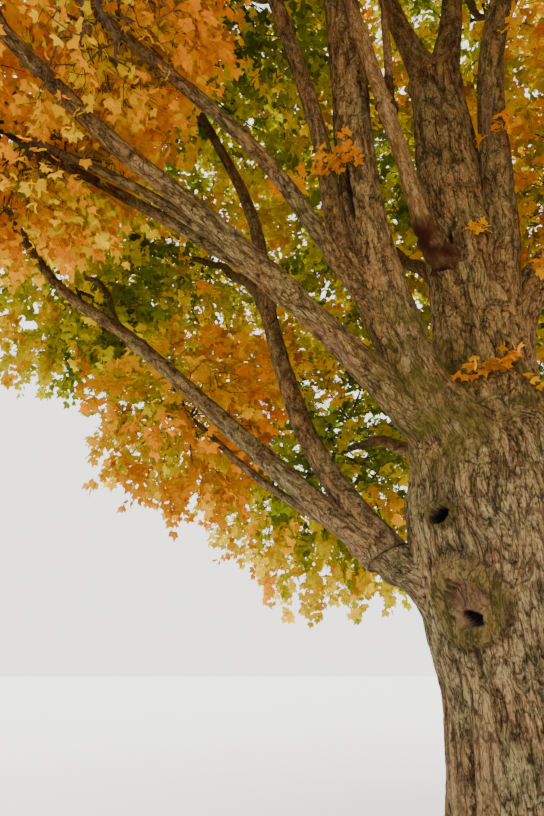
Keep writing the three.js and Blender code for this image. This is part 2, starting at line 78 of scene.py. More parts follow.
# The trunk and the limbs, in the same sizes as in the part's source
TRUNK_TOP = 7.4
TRUNK_BOW = 0.06  # how far its middle stands to the right
TRUNK_LEAN = 0.04  # how far its top leans back
ROOT_FLARE = 0.24
FLARE_HEIGHT = 0.26
FLARE_BETWEEN = 0.35  # the flare's share between the buttresses
BUTTRESSES = 5
BUTTRESS_SHIFT = 0.8  # how unevenly they stand
TRUNK_GIRTH = (
    (0.0, 0.58), (0.6, 0.55), (1.2, 0.585), (1.9, 0.69), (2.7, 0.72), (3.1, 0.66),
    (3.5, 0.51), (4.0, 0.39), (5.0, 0.35), (6.2, 0.31), (7.4, 0.26),
)
COLLAR = 0.5
COLLAR_LENGTH = 3.0
TAPER = 0.8
WOBBLE = 0.006
WAVES = (3, 5)  # half waves of a limb's wobble to either side, and up and down
SIDEWAYS = (0.1, 0.2, 1.0)  # a limb's side lies square to this

# The masses of foliage and their first twigs, in the same sizes as in the part's source
MASS_AHEAD = 0.35
STEM = 0.3  # a mass's stem, as a share of its radius
TWIGS_PER_MASS = 8
FEWEST_TWIGS = 4
TYPICAL_MASS = 2.4
CORE = 0.25  # no twig ends nearer the middle, as a share of the radius
TRIES = 10
MISSES = 60  # for each twig, before a mass counts as full
SPRAY_WIDTH = 1.15
BALANCE = 0.45
LEAF_CLEAR = 0.05  # of wood
CELL_CLEAR = 0.002  # of the next mass's space
CLEAR = 0.0003  # from a limb's tip to its mass's stem
BALL_STEP = 0.12
TRUNK_BALL_STEP = 0.2
NEARBY = 1.0  # wood this far from a mass's space, or nearer, is kept off

# The finer growth
FINE_ENDS = 410  # shoots in a mass of the typical radius
FINE_POWER = 1.7  # how their number grows with the mass's radius
FINE_TRIES = 30  # points tried for each
FEWEST_TRIES = 6  # of them left for each, or there are fewer shoots
FINE_OUTWARD = 0.4  # a third spreads them evenly, and more crowds them in the middle
FINE_MARGIN = 0.17  # from a shoot's root to the edge of its mass's space
FINE_BALANCE = 0.3
TWIG_STEP = 0.22
TWIG_SWAY = 0.06  # as a share of the twig's length
TWIG_TIP = 0.0026
STOUT_TWIG = 0.012  # from this radius on, a twig has more sides
TWIG_SIDES = (3, 6)
TWIG_COLLAR = 1.15  # how much thicker a side twig starts
STEM_GIRTH = 0.92  # of the limb's tip
SHOOT_LENGTH = 0.42
SHOOT_SAG = 0.06  # at its tip
LEAVES_PER_SHOOT = 10
LEAF_LENGTH = 0.155
LEAF_REACH = 0.6  # how far the middle of a leaf keeps from wood, in its length
SPROUT_LEAF = 0.5  # as a share of the typical leaf
PIECE_LEAVES = 28000  # at seven faces a leaf this stays under 200,000 faces

# How shoots and leaves stand: the weights of their directions, and how they scatter
SHOOT_WEIGHTS = (0.7, 0.5, 0.45)  # on from the twig, away from the mass's middle, and at random
SHOOT_DROOP = (0, 0, -0.12)
SHOOT_LENGTHS = (0.7, 0.6)  # the shortest, as a share, and what chance may add
SPROUT_ROOT = (0.9, 0.1, 0.12)  # where sprouts start, as a share of the radius, the rest, and scatter
SPROUT_LENGTHS = (0.75, 0.5)  # again the shortest, and what chance may add
SPROUT_TONE = 0.08  # scatter of their leaves' colour
SPROUT_SPREAD = (0.9, 0.9, 0.3)
SPROUT_LIFT = (0, 0, 0.05)
NEARLY_UP = (0.05, 0.03, 1.0)
LEAF_TURN = 0.35  # scatter of the leaves' places round the shoot, in radians
LEAF_FLAT = 0.5  # they stand less far up and down than to the sides
LAST_PAIR = 0.45  # how far the last pair spreads, as a share
LEAF_WEIGHTS = (0.75, 0.3)  # on from the shoot, and at random
LEAF_DROOP = (0, 0, -0.5)
FACE_UP = (0, 0, 0.6)
FACE_WEIGHTS = (0.6, 0.4)  # of a leaf's face: at random, and away from the mass's middle
LEAF_SIZES = (0.7, 0.45)  # the smallest, as a share, and what chance may add

# From where the photograph was taken, the limbs show before the leaves
STANDPOINT = np.array([-1.77, -5.0, 1.5])
BARE_MARGIN = 0.05  # beside a limb
BARE_SHARE = 0.93  # of the leaves that would hide it are left out
NEAR_LEAVES = (4.6, 6.2)  # no leaves nearer than the first, all beyond the second

# The bark: ridges this far apart on the trunk, and on a limb by its girth
TRUNK_RIDGES = 0.058
LIMB_RIDGES = (0.02, 0.12)  # for a thin limb, and what each metre of radius adds
RIDGE_LENGTH = 5.0  # in widths
TRUNK_RELIEF = 0.018
LIMB_RELIEF = 0.05  # as a share of the limb's radius
LUMPS = 0.07  # slow swellings, as a share of the radius
LUMP_LENGTH = 2.2  # in radii
LUMPS_ROUND = 0.8  # how fast they change round the wood
LUMPS_OFF = 7.7  # where in the noise they start
KNOBS = 0.035  # and smaller ones on the trunk
KNOB_SIZE = (3.2, 3.2, 5.0)  # how many times smaller
KNOBBY = ((1.4, 2.2), (3.4, 4.4))  # the heights between which they start and fade out
FAIRING = 1.1  # reach of the rounded creases where limbs join, in radii of the thinner one
FAIRING_FLAT = 3  # how many times farther a crease's rounding reaches than it rises
FORK_REACH = (2, 5)  # beyond this many reaches from a fork it fades, and where it is gone
PASSING = 0.4  # its share where two limbs only pass each other
MIDDLE_RELIEF = 0.6  # the height of the bark that lies on the solid's surface
TRUNK_MESH = (0.03, 320)  # spacing of the rings, and sides
KNOTTY = (1.5, 2.9)  # from and to this height the rings lie twice as close
LIMB_MESH = (0.042, 0.024, 12, 52)  # spacing of the rings and of the sides, least and most sides
FEWEST_RINGS = 8
NUDGE = 1e-3  # the share of a limb's length over which its direction is measured
GRAIN_STRETCH = 0.3
GRAIN_TWIST = 0.12  # radians to a metre
GRAIN_APART = 13  # how far apart the parts' patterns may lie
STRAIGHT_FOOT = 0.65  # how much straighter the furrows run at the foot of the trunk
FOOT = (2.3, 1.3)  # the heights between which they straighten


class WoodKind(Enum):
    """What covers a length of wood. The value is the record's slot."""

    BARK = "bark"
    BARE = "dead_wood"


@dataclass(frozen=True)
class LimbSpec:
    """A limb's named sizes.

    It leaves its parent at a height on the trunk, or at a share of another limb's length, and
    ends at its tip. It either bends through via, or sets off and arrives on given headings and
    rises, with pull saying how strongly each holds. girth is its radius at either end, crown is
    the radius of its mass, tone is how far that has turned from green, 0, to orange, 1, leaf is the
    size of its leaves as a share of the typical one, and dense is how much closer they stand.
    """

    name: str
    parent: str
    at: float
    tip: tuple[float, float, float]
    girth: tuple[float, float]
    crown: float = 0.0
    tone: float = 0.6
    via: tuple[tuple[float, float, float], ...] = ()
    off: tuple[float, float] = (0.0, 0.0)
    on: tuple[float, float] = (0.0, 0.0)
    pull: tuple[float, float] = (0.8, 0.8)
    leaf: float = 1.25
    dense: float = 1.0
    kind: WoodKind = WoodKind.BARK


LIMBS = (
    LimbSpec("left_leader", "trunk", 2.75, (-1.5, -1.15, 12.4), (0.2, 0.14), 2.4, 0.6,
             via=((-0.59, -0.4, 3.6), (-0.95, -0.5, 5.2), (-1.1, -0.8, 7.55))),
    LimbSpec("long_left_bough", "trunk", 2.8, (-4.35, -2.1, 6.4), (0.15, 0.045), 2.3, 0.92,
             via=((-0.77, -0.42, 3.47), (-2.22, -0.95, 4.73), (-3.1, -1.3, 5.35)), leaf=0.54),
    LimbSpec("low_left_bough", "trunk", 1.8, (-5.1, 1.4, 6.85), (0.12, 0.044), 2.3, 0.42,
             via=((-0.85, 0.02, 2.3), (-1.53, 0.2, 2.91), (-3.2, 0.78, 4.64), (-4.2, 1.08, 5.53)),
             leaf=0.8, dense=0.85),
    LimbSpec("right_leader", "trunk", 3.6, (2.7, -0.6, 12.0), (0.175, 0.08), 2.5, 0.75,
             via=((0.3, -0.2, 4.9), (0.66, -0.3, 8.0))),
    LimbSpec("right_bough", "trunk", 3.5, (4.2, -1.1, 6.7), (0.16, 0.055), 2.5, 0.8,
             via=((0.72, -0.2, 4.92), (2.4, -0.6, 6.3))),
    LimbSpec("centre_left_leader", "trunk", 7.3, (-0.75, 0.85, 13.9), (0.125, 0.06), 2.3, 0.6,
             off=(172, 68), on=(120, 80), pull=(0.5, 0.8)),
    LimbSpec("centre_right_leader", "trunk", 7.3, (1.2, -0.1, 13.8), (0.135, 0.06), 2.3, 0.7,
             off=(10, 70), on=(350, 80), pull=(0.5, 0.8)),
    LimbSpec("low_back_left_bough", "trunk", 2.8, (-0.6, 4.1, 4.6), (0.11, 0.05), 2.3, 0.52,
             off=(104, 38), on=(99, 10), pull=(0.9, 0.8), leaf=0.8, dense=1.5),
    LimbSpec("low_back_right_bough", "trunk", 3.0, (2.2, 4.05, 4.9), (0.13, 0.05), 2.4, 0.52,
             off=(58, 42), on=(62, 12), pull=(0.9, 0.8), leaf=0.85, dense=1.4),
    LimbSpec("low_right_bough", "trunk", 2.8, (4.0, 1.9, 4.8), (0.14, 0.055), 2.4, 0.8,
             off=(22, 38), on=(26, 12), pull=(0.9, 0.8)),
    LimbSpec("back_bough", "trunk", 4.3, (0.1, 4.4, 8.6), (0.12, 0.055), 2.65, 0.44,
             off=(80, 52), on=(90, 42), leaf=0.95, dense=1.6),
    LimbSpec("back_right_bough", "trunk", 3.9, (3.1, 3.3, 8.4), (0.12, 0.055), 2.5, 0.62,
             off=(42, 50), on=(46, 48), leaf=0.95, dense=1.6),
    LimbSpec("left_leader_fork", "left_leader", 0.17, (-2.6, -1.3, 10.3), (0.095, 0.06), 2.4, 0.4,
             via=((-1.15, -0.5, 4.8), (-1.37, -0.6, 6.2)), leaf=0.85),
    LimbSpec("slanting_bough", "left_leader", 0.15, (-3.03, -1.7, 6.03), (0.095, 0.045), 1.35, 0.88,
             via=((-1.21, -0.6, 4.63), (-1.87, -1.1, 5.3)), leaf=0.5),
    LimbSpec("front_bough", "left_leader", 0.55, (-1.9, -4.1, 10.2), (0.09, 0.05), 2.5, 0.6,
             off=(250, 45), on=(250, 32)),
    LimbSpec("long_left_middle_branch", "long_left_bough", 0.44, (-3.5, -0.95, 5.45),
             (0.052, 0.036), 1.0, 0.8, via=((-2.82, -1.0, 5.03),), leaf=0.52),
    LimbSpec("long_left_lower_branch", "long_left_bough", 0.38, (-4.3, -0.15, 6.4),
             (0.06, 0.036), 1.45, 0.52, via=((-2.62, -0.7, 4.96),), leaf=0.58, dense=0.85),
    LimbSpec("upper_left_branch", "long_left_bough", 0.88, (-5.0, -0.9, 9.0), (0.055, 0.04), 2.5, 0.7,
             off=(165, 62), on=(170, 58)),
    LimbSpec("crossing_bough", "low_left_bough", 0.14, (-2.9, 1.9, 9.2), (0.11, 0.055), 2.5, 0.33,
             via=((-1.43, 0.4, 3.42), (-1.79, 0.8, 4.9), (-2.0, 1.15, 6.5)), leaf=0.85),
    LimbSpec("low_left_under_branch", "low_left_bough", 0.12, (-2.6, 1.8, 4.1), (0.046, 0.032),
             1.1, 0.88, via=((-1.8, 0.6, 3.05),), leaf=0.72, dense=1.3),
    LimbSpec("low_left_outer_branch", "low_left_bough", 0.58, (-4.2, 2.2, 6.35), (0.045, 0.032),
             1.55, 0.36, off=(140, 25), on=(140, 25), leaf=0.72, dense=0.6),
    LimbSpec("back_left_branch", "crossing_bough", 0.42, (-3.1, 3.9, 7.9), (0.07, 0.045), 2.5, 0.5,
             off=(115, 48), on=(122, 35), leaf=0.85, dense=1.2),
    LimbSpec("upper_back_left_branch", "centre_left_leader", 0.35, (-2.0, 2.3, 12.0),
             (0.075, 0.05), 2.4, 0.5, off=(135, 48), on=(130, 50), leaf=1.0),
    LimbSpec("upper_back_right_branch", "centre_right_leader", 0.3, (1.9, 2.6, 12.0),
             (0.075, 0.05), 2.4, 0.6, off=(62, 48), on=(56, 50), leaf=1.0, dense=1.4),
    LimbSpec("upper_front_branch", "centre_right_leader", 0.32, (1.0, -2.9, 12.2),
             (0.075, 0.05), 2.5, 0.65, off=(283, 48), on=(285, 50)),
    LimbSpec("front_right_branch", "right_leader", 0.5, (3.5, -3.1, 9.5), (0.075, 0.05), 2.5, 0.75,
             off=(310, 42), on=(318, 32)),
    LimbSpec("upper_right_branch", "right_bough", 0.45, (4.3, 0.7, 8.9), (0.09, 0.05), 2.65, 0.8,
             off=(12, 62), on=(8, 50)),
    LimbSpec("low_front_branch", "right_bough", 0.35, (0.9, -3.9, 6.7), (0.085, 0.045), 2.4, 0.7,
             off=(290, 36), on=(262, 22)),
    LimbSpec("low_front_right_branch", "right_bough", 0.6, (3.6, -3.5, 6.2), (0.07, 0.045), 2.3, 0.8,
             off=(318, 12), on=(305, 8)),
)
DEAD_LIMB = LimbSpec("dead_limb", "trunk", 4.85, (-1.12, -1.22, 7.1), (0.08, 0.062),
                     via=((-0.34, -0.33, 5.0), (-0.66, -0.75, 5.73)), kind=WoodKind.BARE)
DEAD_FORK = LimbSpec("dead_limb_fork", "dead_limb", 0.6, (-0.7, -0.8, 7.55), (0.05, 0.035),
                     via=((-0.68, -0.74, 6.75),), kind=WoodKind.BARE)


@dataclass(frozen=True)
class Knot:
    """An old branch scar on the trunk: a callus ring round sunken bare wood, with a hole in it.

    ring is the callus's radius and thick its half-width, which stands out by rise; tall is its
    height as a share of its width. The hole lies at an offset to the side and up, with a half-width
    and a half-height, and leans by tilt.
    """

    height: float
    heading: float
    ring: float
    thick: float
    tall: float
    rise: float
    sunk: float
    hole: tuple[float, float]
    hole_size: tuple[float, float]
    hole_depth: float
    tilt: float


KNOTS = (
    Knot(height=1.93, heading=226, ring=0.2, thick=0.078, tall=1.1, rise=0.085, sunk=0.035,
         hole=(0.01, -0.1), hole_size=(0.1, 0.04), hole_depth=0.07, tilt=-24),
    Knot(height=2.56, heading=216, ring=0.1, thick=0.036, tall=0.8, rise=0.03, sunk=0.03,
         hole=(0.0, -0.01), hole_size=(0.085, 0.055), hole_depth=0.09, tilt=22),
)


@dataclass(frozen=True)
class Wound:
    """A worn or rotten patch on a length of wood.

    It lies at a height on the trunk, or at a share of a limb's length, on the side that faces a
    heading and a rise. size is its half-width and half-length, deep is how far it is sunk, below 0
    if it stands out, and bare and rotten say how much of each it shows.
    """

    part: str
    at: float
    facing: tuple[float, float]
    size: tuple[float, float]
    deep: float
    bare: float = 0.0
    rotten: float = 0.0


WOUNDS = (
    Wound("left_leader", 0.3, (215, 0), (0.05, 0.36), 0.05, rotten=0.9),
    Wound("long_left_bough", 0.3, (235, -40), (0.035, 0.26), 0.008, bare=0.9),
    Wound("low_left_bough", 0.17, (225, -50), (0.045, 0.06), -0.03, bare=0.9),
    Wound("trunk", 5.15, (235, 0), (0.025, 0.13), 0.06, rotten=0.9),
    Wound("right_leader", 0.33, (235, 0), (0.05, 0.55), 0.008, bare=0.55),
    Wound("trunk", 3.85, (285, 0), (0.06, 0.09), 0.05, rotten=0.7),
    Wound("trunk", 2.85, (222, 0), (0.1, 0.09), -0.02, bare=0.25),
    Wound("trunk", 2.3, (222, 0), (0.09, 0.05), 0.025, rotten=0.5),
    Wound("trunk", 1.58, (226, 0), (0.03, 0.08), 0.03, rotten=0.7),
)


@dataclass(frozen=True)
class Seam:
    """An old wound that has closed to a groove, with a strip of bare wood on its right.

    It runs up to top, and fades over the last stretch. edge is how wide the strip's two edges are,
    bare is how much bare wood the strip shows, and rotten is how dark the middle of the groove is.
    """

    heading: float
    top: float
    fade: float
    wide: float
    deep: float
    strip: float
    edge: tuple[float, float]
    bare: float
    rotten: float


SEAM = Seam(heading=210, top=1.4, fade=0.3, wide=0.022, deep=0.05, strip=0.17, edge=(0.03, 0.05),
            bare=0.35, rotten=0.8)

# A knot's callus, the bare wood inside it and the hole
KNOT_REACH = (1.2, 9.0)  # a knot ends this many radians round the trunk; what lies beyond is far off
RING_WAVES = (0.07, 0.04)  # how uneven the ring is, in three waves and in five
RING_TURN = 1.3  # where the three waves start, in radians
CLEFT = (0.5, 0.3)  # how much lower the callus is above the knot, and over how many radians
BROW = 0.5  # how much farther it stands out on the knot's upper side
CALLUS_SMOOTH = 0.6
CALLUS_MOSS = 0.75
KNOT_BARE = 0.95
KNOT_LEFT = (0.8, 0.12)  # on its left the wood is that much as bare, and rotten by the second
INSIDE = (-1.05, -0.7)  # where the bare wood ends, in the callus's half-widths
HOLE_EDGE = (0.6, 1.1)  # where it shelves up, in the hole's own size
# the hole is painted dark, as painted shade, between these sizes
HOLE_SHADE = (0.85, 1.2)  # and where its darkness ends
WRINKLE = (0.006, 0.035)  # depth and spacing of the callus's folds
LOBES = (0.6, 0.03)  # height and half-width of the callus's lobe that hangs into the knot
LOBES_FROM = (-0.05, 0.08)  # it starts between these heights above the knot's middle
# painted shade in the crease round the callus
CALLUS_CREASE_SHADE = (0.4, 1.1, 0.2)  # the dark rim: how dark, how far out and how wide, in half-widths

# Middles and radii of the places where moss grows, and the size of its patches
MOSSY = (((0.25, -0.3, 3.55), 0.42), ((-0.4, -0.35, 3.2), 0.5), ((-0.6, -0.4, 3.8), 0.65))
MOSS_PATCH = 0.11
MOSS_FROM = (0.33, 0.58)  # where in the patches' noise it starts, and where it is full

WOUND_PATCH = 0.07  # the size of what makes a worn patch's edge ragged
WOUND_EDGE = (0.6, 1.1)  # where the patch starts to fade and where it ends, in its own size
WOUND_SMOOTH = 0.8  # how far the bark's relief is worn off there
ROTTEN_FOOT = (0.42, 0.54)  # from here to there a dead limb's rotten foot ends
CRUMBS = (0.06, 0.09, 0.012)  # their size and depth, and how much the rotten foot is swollen
SPLINTER = (0.03, 0.03, 0.2)  # the size of a torn end's splinters
TORN = 0.5  # the length of a dead limb's torn end


@dataclass(frozen=True)
class Tint:
    """A leaf colour, and the record's slot that it takes its finish from."""

    name: str
    rgb: tuple[float, float, float]
    slot: str


# From green to deep orange, the order in which the leaves turn
TINTS = (
    Tint("dark_green", (0.13, 0.19, 0.016), "green_leaves"),
    Tint("green", (0.23, 0.3, 0.012), "green_leaves"),
    Tint("olive", (0.37, 0.37, 0.01), "green_leaves"),
    Tint("yellow_green", (0.58, 0.51, 0.008), "gold_leaves"),
    Tint("yellow", (0.82, 0.61, 0.006), "gold_leaves"),
    Tint("gold", (0.84, 0.52, 0.004), "gold_leaves"),
    Tint("orange", (0.84, 0.42, 0.003), "orange_leaves"),
    Tint("red_orange", (0.8, 0.31, 0.003), "orange_leaves"),
)


class Shade(Enum):
    """Painted shade on a spray's leaves: the plain shade keeps their tint, and the other is a darker copy
    of it. The value is what their tint is multiplied by.
    """

    PLAIN = 1.0
    DEEP = 0.6


# Painted shade: the share of the sprays whose leaves take the darker copy of their tint, most of all in
# the crown's outer shell
PAINTED_SHADE_SHARE = (0.12, 0.75)  # of the sprays anywhere, and what being in the crown's shell adds
CROWN_MIDDLE = np.array([-0.2, 0.0, 9.0])
CROWN_REACH = np.array([7.3, 7.1, 7.7])
SHELL = (0.64, 0.82)  # where it starts and where it is full, as shares of the crown's reach
FRINGE = 0.45  # leaves turn first in a mass's fringe, this share of its radius deep
TONE_PATCH = 1.1  # the size of patches that have turned farther
TONE_SPREAD = 0.13  # among neighbouring sprays
TONE_WEIGHTS = (0.3, 0.65, 0.1)  # what fringe and patch add, and what height in the mass takes away
USUAL_FRINGE = 0.6
FULLY_TURNED = 0.999  # the farthest that still takes one of the tints


@dataclass(frozen=True)
class Sprout:
    """A few leafy shoots straight from old wood.

    They leave a part at a height on the trunk, or at a share of a limb's length, towards a heading
    and a rise, and their leaves have turned as far as tone says.
    """

    part: str
    at: float
    facing: tuple[float, float]
    shoots: int
    length: float
    tone: float


SPROUTS = (
    Sprout("trunk", 3.75, (262, 0), 6, 0.26, 0.85),
    Sprout("left_leader", 0.315, (235, 5), 7, 0.28, 0.85),
    Sprout("right_leader", 0.3, (285, 10), 3, 0.2, 0.85),
    Sprout("trunk", 5.2, (268, 5), 2, 0.08, 0.85),
    Sprout("right_bough", 0.24, (280, 10), 4, 0.26, 0.85),
    Sprout("right_leader", 0.45, (320, 10), 5, 0.3, 0.8),
    Sprout("slanting_bough", 0.5, (80, 50), 4, 0.26, 0.85),
)

# A leaf in its own plane: across, along and up, as shares of its blade's length
BLADE = np.array([
    (0.0, 0.0, 0.0), (0.45, -0.06, -0.08), (0.63, 0.46, -0.13), (0.27, 0.55, 0.0), (0.0, 1.0, -0.14),
    (-0.27, 0.55, 0.0), (-0.63, 0.46, -0.13), (-0.45, -0.06, -0.08),
])
PETIOLE = 0.55
PETIOLE_HALF = 0.014
STALK = [(PETIOLE_HALF, 0, 0.02), (-PETIOLE_HALF, 0, 0.02)]
LEAF_POINTS = np.vstack([BLADE + (0, PETIOLE, 0), STALK])
LEAF_FACES = np.array([(0, i, i + 1) for i in range(1, 7)] + [(0, 8, 9)])


class SeededRandom:
    """The part's seeded random numbers, from 0 to 1."""

    FIRST = 7
    FACTOR = 31
    STEP = 0x6D2B79F5

    def __init__(self, name: str) -> None:
        """Starts the row of numbers.

        Args:
            name: what the seed is worked out from.
        """
        seed = self.FIRST
        for letter in name:
            seed = (seed * self.FACTOR + ord(letter)) & MASK
        self._state = seed

    def next(self) -> float:
        """Returns the next number."""
        self._state = (self._state + self.STEP) & MASK
        mixed = ((self._state ^ (self._state >> 15)) * (1 | self._state)) & MASK
        mixed = ((mixed + (mixed ^ (mixed >> 7)) * (61 | mixed)) & MASK) ^ mixed
        return ((mixed ^ (mixed >> 14)) & MASK) / (MASK + 1)


def direction(heading: float, rise: float) -> np.ndarray:
    """Returns the unit vector of a heading and a rise in degrees."""
    h, r = math.radians(heading), math.radians(rise)
    return np.array([math.cos(h) * math.cos(r), math.sin(h) * math.cos(r), math.sin(r)])


def unit(vectors: np.ndarray) -> np.ndarray:
    """Returns vectors made one long."""
    return vectors / np.maximum(np.linalg.norm(vectors, axis=-1, keepdims=True), TINY)


def smoothstep(low: float, high: float, x: np.ndarray) -> np.ndarray:
    """Returns x eased from 0 at low to 1 at high."""
    t = np.clip((x - low) / (high - low), 0, 1)
    return t * t * (3 - 2 * t)


def table_at(rows: Sequence[tuple[float, float]], x: np.ndarray) -> np.ndarray:
    """Looks a value up in a table and eases it between the rows.

    Args:
        rows: places and the values there.
        x: the places asked for.

    Returns:
        The value at each x.
    """
    x = np.asarray(x, dtype=float)
    value = np.full(x.shape, rows[0][1])
    for (x0, v0), (x1, v1) in zip(rows, rows[1:]):
        value = np.where(x >= x0, v0 + (v1 - v0) * smoothstep(x0, x1, x), value)
    return value


# Odd factors that scatter the corners of noise's cells
SCATTER = (374761393, 668265263, 2246822519, 3266489917, 1274126177)


def noise(points: np.ndarray, seed: int) -> np.ndarray:
    """Returns smooth random values from 0 to 1 at points, with features one unit wide.

    Args:
        points: n points of three coordinates.
        seed: picks one of many patterns.

    Returns:
        One value for each point.
    """
    cell = np.floor(points).astype(np.int64)
    part = points - cell
    ease = part * part * part * (part * (part * 6 - 15) + 10)
    start = np.uint64(seed * SCATTER[3])
    total = np.zeros(len(points))
    for corner in range(8):
        step = np.array([corner & 1, corner >> 1 & 1, corner >> 2])
        at = (cell + step).astype(np.uint64)
        mixed = at[:, 0] * np.uint64(SCATTER[0]) + at[:, 1] * np.uint64(SCATTER[1])
        mixed = (mixed + at[:, 2] * np.uint64(SCATTER[2]) + start) & np.uint64(MASK)
        mixed = ((mixed ^ (mixed >> np.uint64(13))) * np.uint64(SCATTER[4])) & np.uint64(MASK)
        value = (mixed ^ (mixed >> np.uint64(16))) / MASK
        total += value * np.prod(np.where(step, ease, 1 - ease), axis=1)
    return total


class Line:
    """A curve in space that is run along by the share of its length."""

    STEPS = 200

    def __init__(self, at: Callable[[np.ndarray], np.ndarray]) -> None:
        """Measures the curve.

        Args:
            at: gives the curve's points at parameters from 0 to 1.
        """
        self._at = at
        self._t = np.linspace(0, 1, self.STEPS + 1)
        steps = np.linalg.norm(np.diff(at(self._t), axis=0), axis=1)
        self._run = np.concatenate([[0.0], np.cumsum(steps)])
        self.length = float(self._run[-1])

    def points(self, shares: np.ndarray) -> np.ndarray:
        """Returns the points at shares of the length."""
        return self._at(np.interp(np.asarray(shares) * self.length, self._run, self._t))

    @classmethod
    def through(cls, points: Sequence[np.ndarray]) -> "Line":
        """Draws a smooth line through points, its bends even however far apart they lie.

        Args:
            points: the points, from the foot to the tip.

        Returns:
            The line.
        """
        inner = np.array(points)
        padded = np.vstack([2 * inner[0] - inner[1], inner, 2 * inner[-1] - inner[-2]])
        spans = len(inner) - 1

        def at(t: np.ndarray) -> np.ndarray:
            """Finds the curve's points.

            Args:
                t: parameters from 0 to 1.

            Returns:
                A point for each.
            """
            run = np.clip(t, 0, 1) * spans
            i = np.minimum(run.astype(int), spans - 1)
            w = (run - i)[:, None]
            p0, p1, p2, p3 = (padded[i + k] for k in range(4))
            legs = (p1 - p0, p2 - p1, p3 - p2)
            d0, d1, d2 = (np.linalg.norm(leg, axis=1)[:, None] ** 0.5 for leg in legs)
            m1 = ((p1 - p0) / d0 - (p2 - p0) / (d0 + d1) + (p2 - p1) / d1) * d1
            m2 = ((p2 - p1) / d1 - (p3 - p1) / (d1 + d2) + (p3 - p2) / d2) * d1
            square = -3 * p1 + 3 * p2 - 2 * m1 - m2
            return p1 + m1 * w + square * w**2 + (2 * p1 - 2 * p2 + m1 + m2) * w**3

        return cls(at)

    @classmethod
    def between(cls, a: np.ndarray, b: np.ndarray, c: np.ndarray, d: np.ndarray) -> "Line":
        """Draws a line between two points that two more pull aside.

        Args:
            a: where the line starts.
            b: the point that pulls its first half aside.
            c: the point that pulls its second half aside.
            d: where it ends.

        Returns:
            The line.
        """

        def at(t: np.ndarray) -> np.ndarray:
            """Returns the curve's points at parameters from 0 to 1."""
            w = np.asarray(t)[:, None]
            return a * (1 - w) ** 3 + 3 * b * w * (1 - w) ** 2 + 3 * c * w**2 * (1 - w) + d * w**3

        return cls(at)


@dataclass
class Grid:
    """Rings of points round a length of wood.

    middles, radials and radii place the points, run is how far along each ring lies, and angles
    are those of the sides.
    """

    middles: np.ndarray
    radials: np.ndarray
    radii: np.ndarray
    run: np.ndarray
    angles: np.ndarray

    def points(self) -> np.ndarray:
        """Returns the points, ring by ring."""
        return self.middles[:, None] + self.radials * self.radii[..., None]

    def faces(self) -> np.ndarray:
        """Returns the triangles between the rings, and those that close both ends.

        The middles of the two ends follow the rings' own points.
        """
        rings, sides = self.radii.shape
        i, j = np.meshgrid(np.arange(rings - 1), np.arange(sides), indexing="ij")
        a, b = (i * sides + j).ravel(), (i * sides + (j + 1) % sides).ravel()
        c, d = b + sides, a + sides
        j = np.arange(sides)
        low, high = rings * sides, rings * sides + 1
        foot = np.stack([np.full(sides, low), (j + 1) % sides, j], 1)
        top = np.stack([np.full(sides, high), j, (j + 1) % sides], 1)
        top[:, 1:] += (rings - 1) * sides
        return np.vstack([np.stack([a, b, c], 1), np.stack([a, c, d], 1), foot, top])


def directions_round(side: np.ndarray, up: np.ndarray, angles: np.ndarray) -> np.ndarray:
    """Returns the directions at angles from each side direction towards each up direction."""
    return np.cos(angles)[None, :, None] * side[:, None] + np.sin(angles)[None, :, None] * up[:, None]


def normals_of(points: np.ndarray) -> np.ndarray:
    """Returns the outward normals of a grid's points."""
    around = np.roll(points, -1, axis=1) - np.roll(points, 1, axis=1)
    return unit(np.cross(around, np.gradient(points, axis=0)))


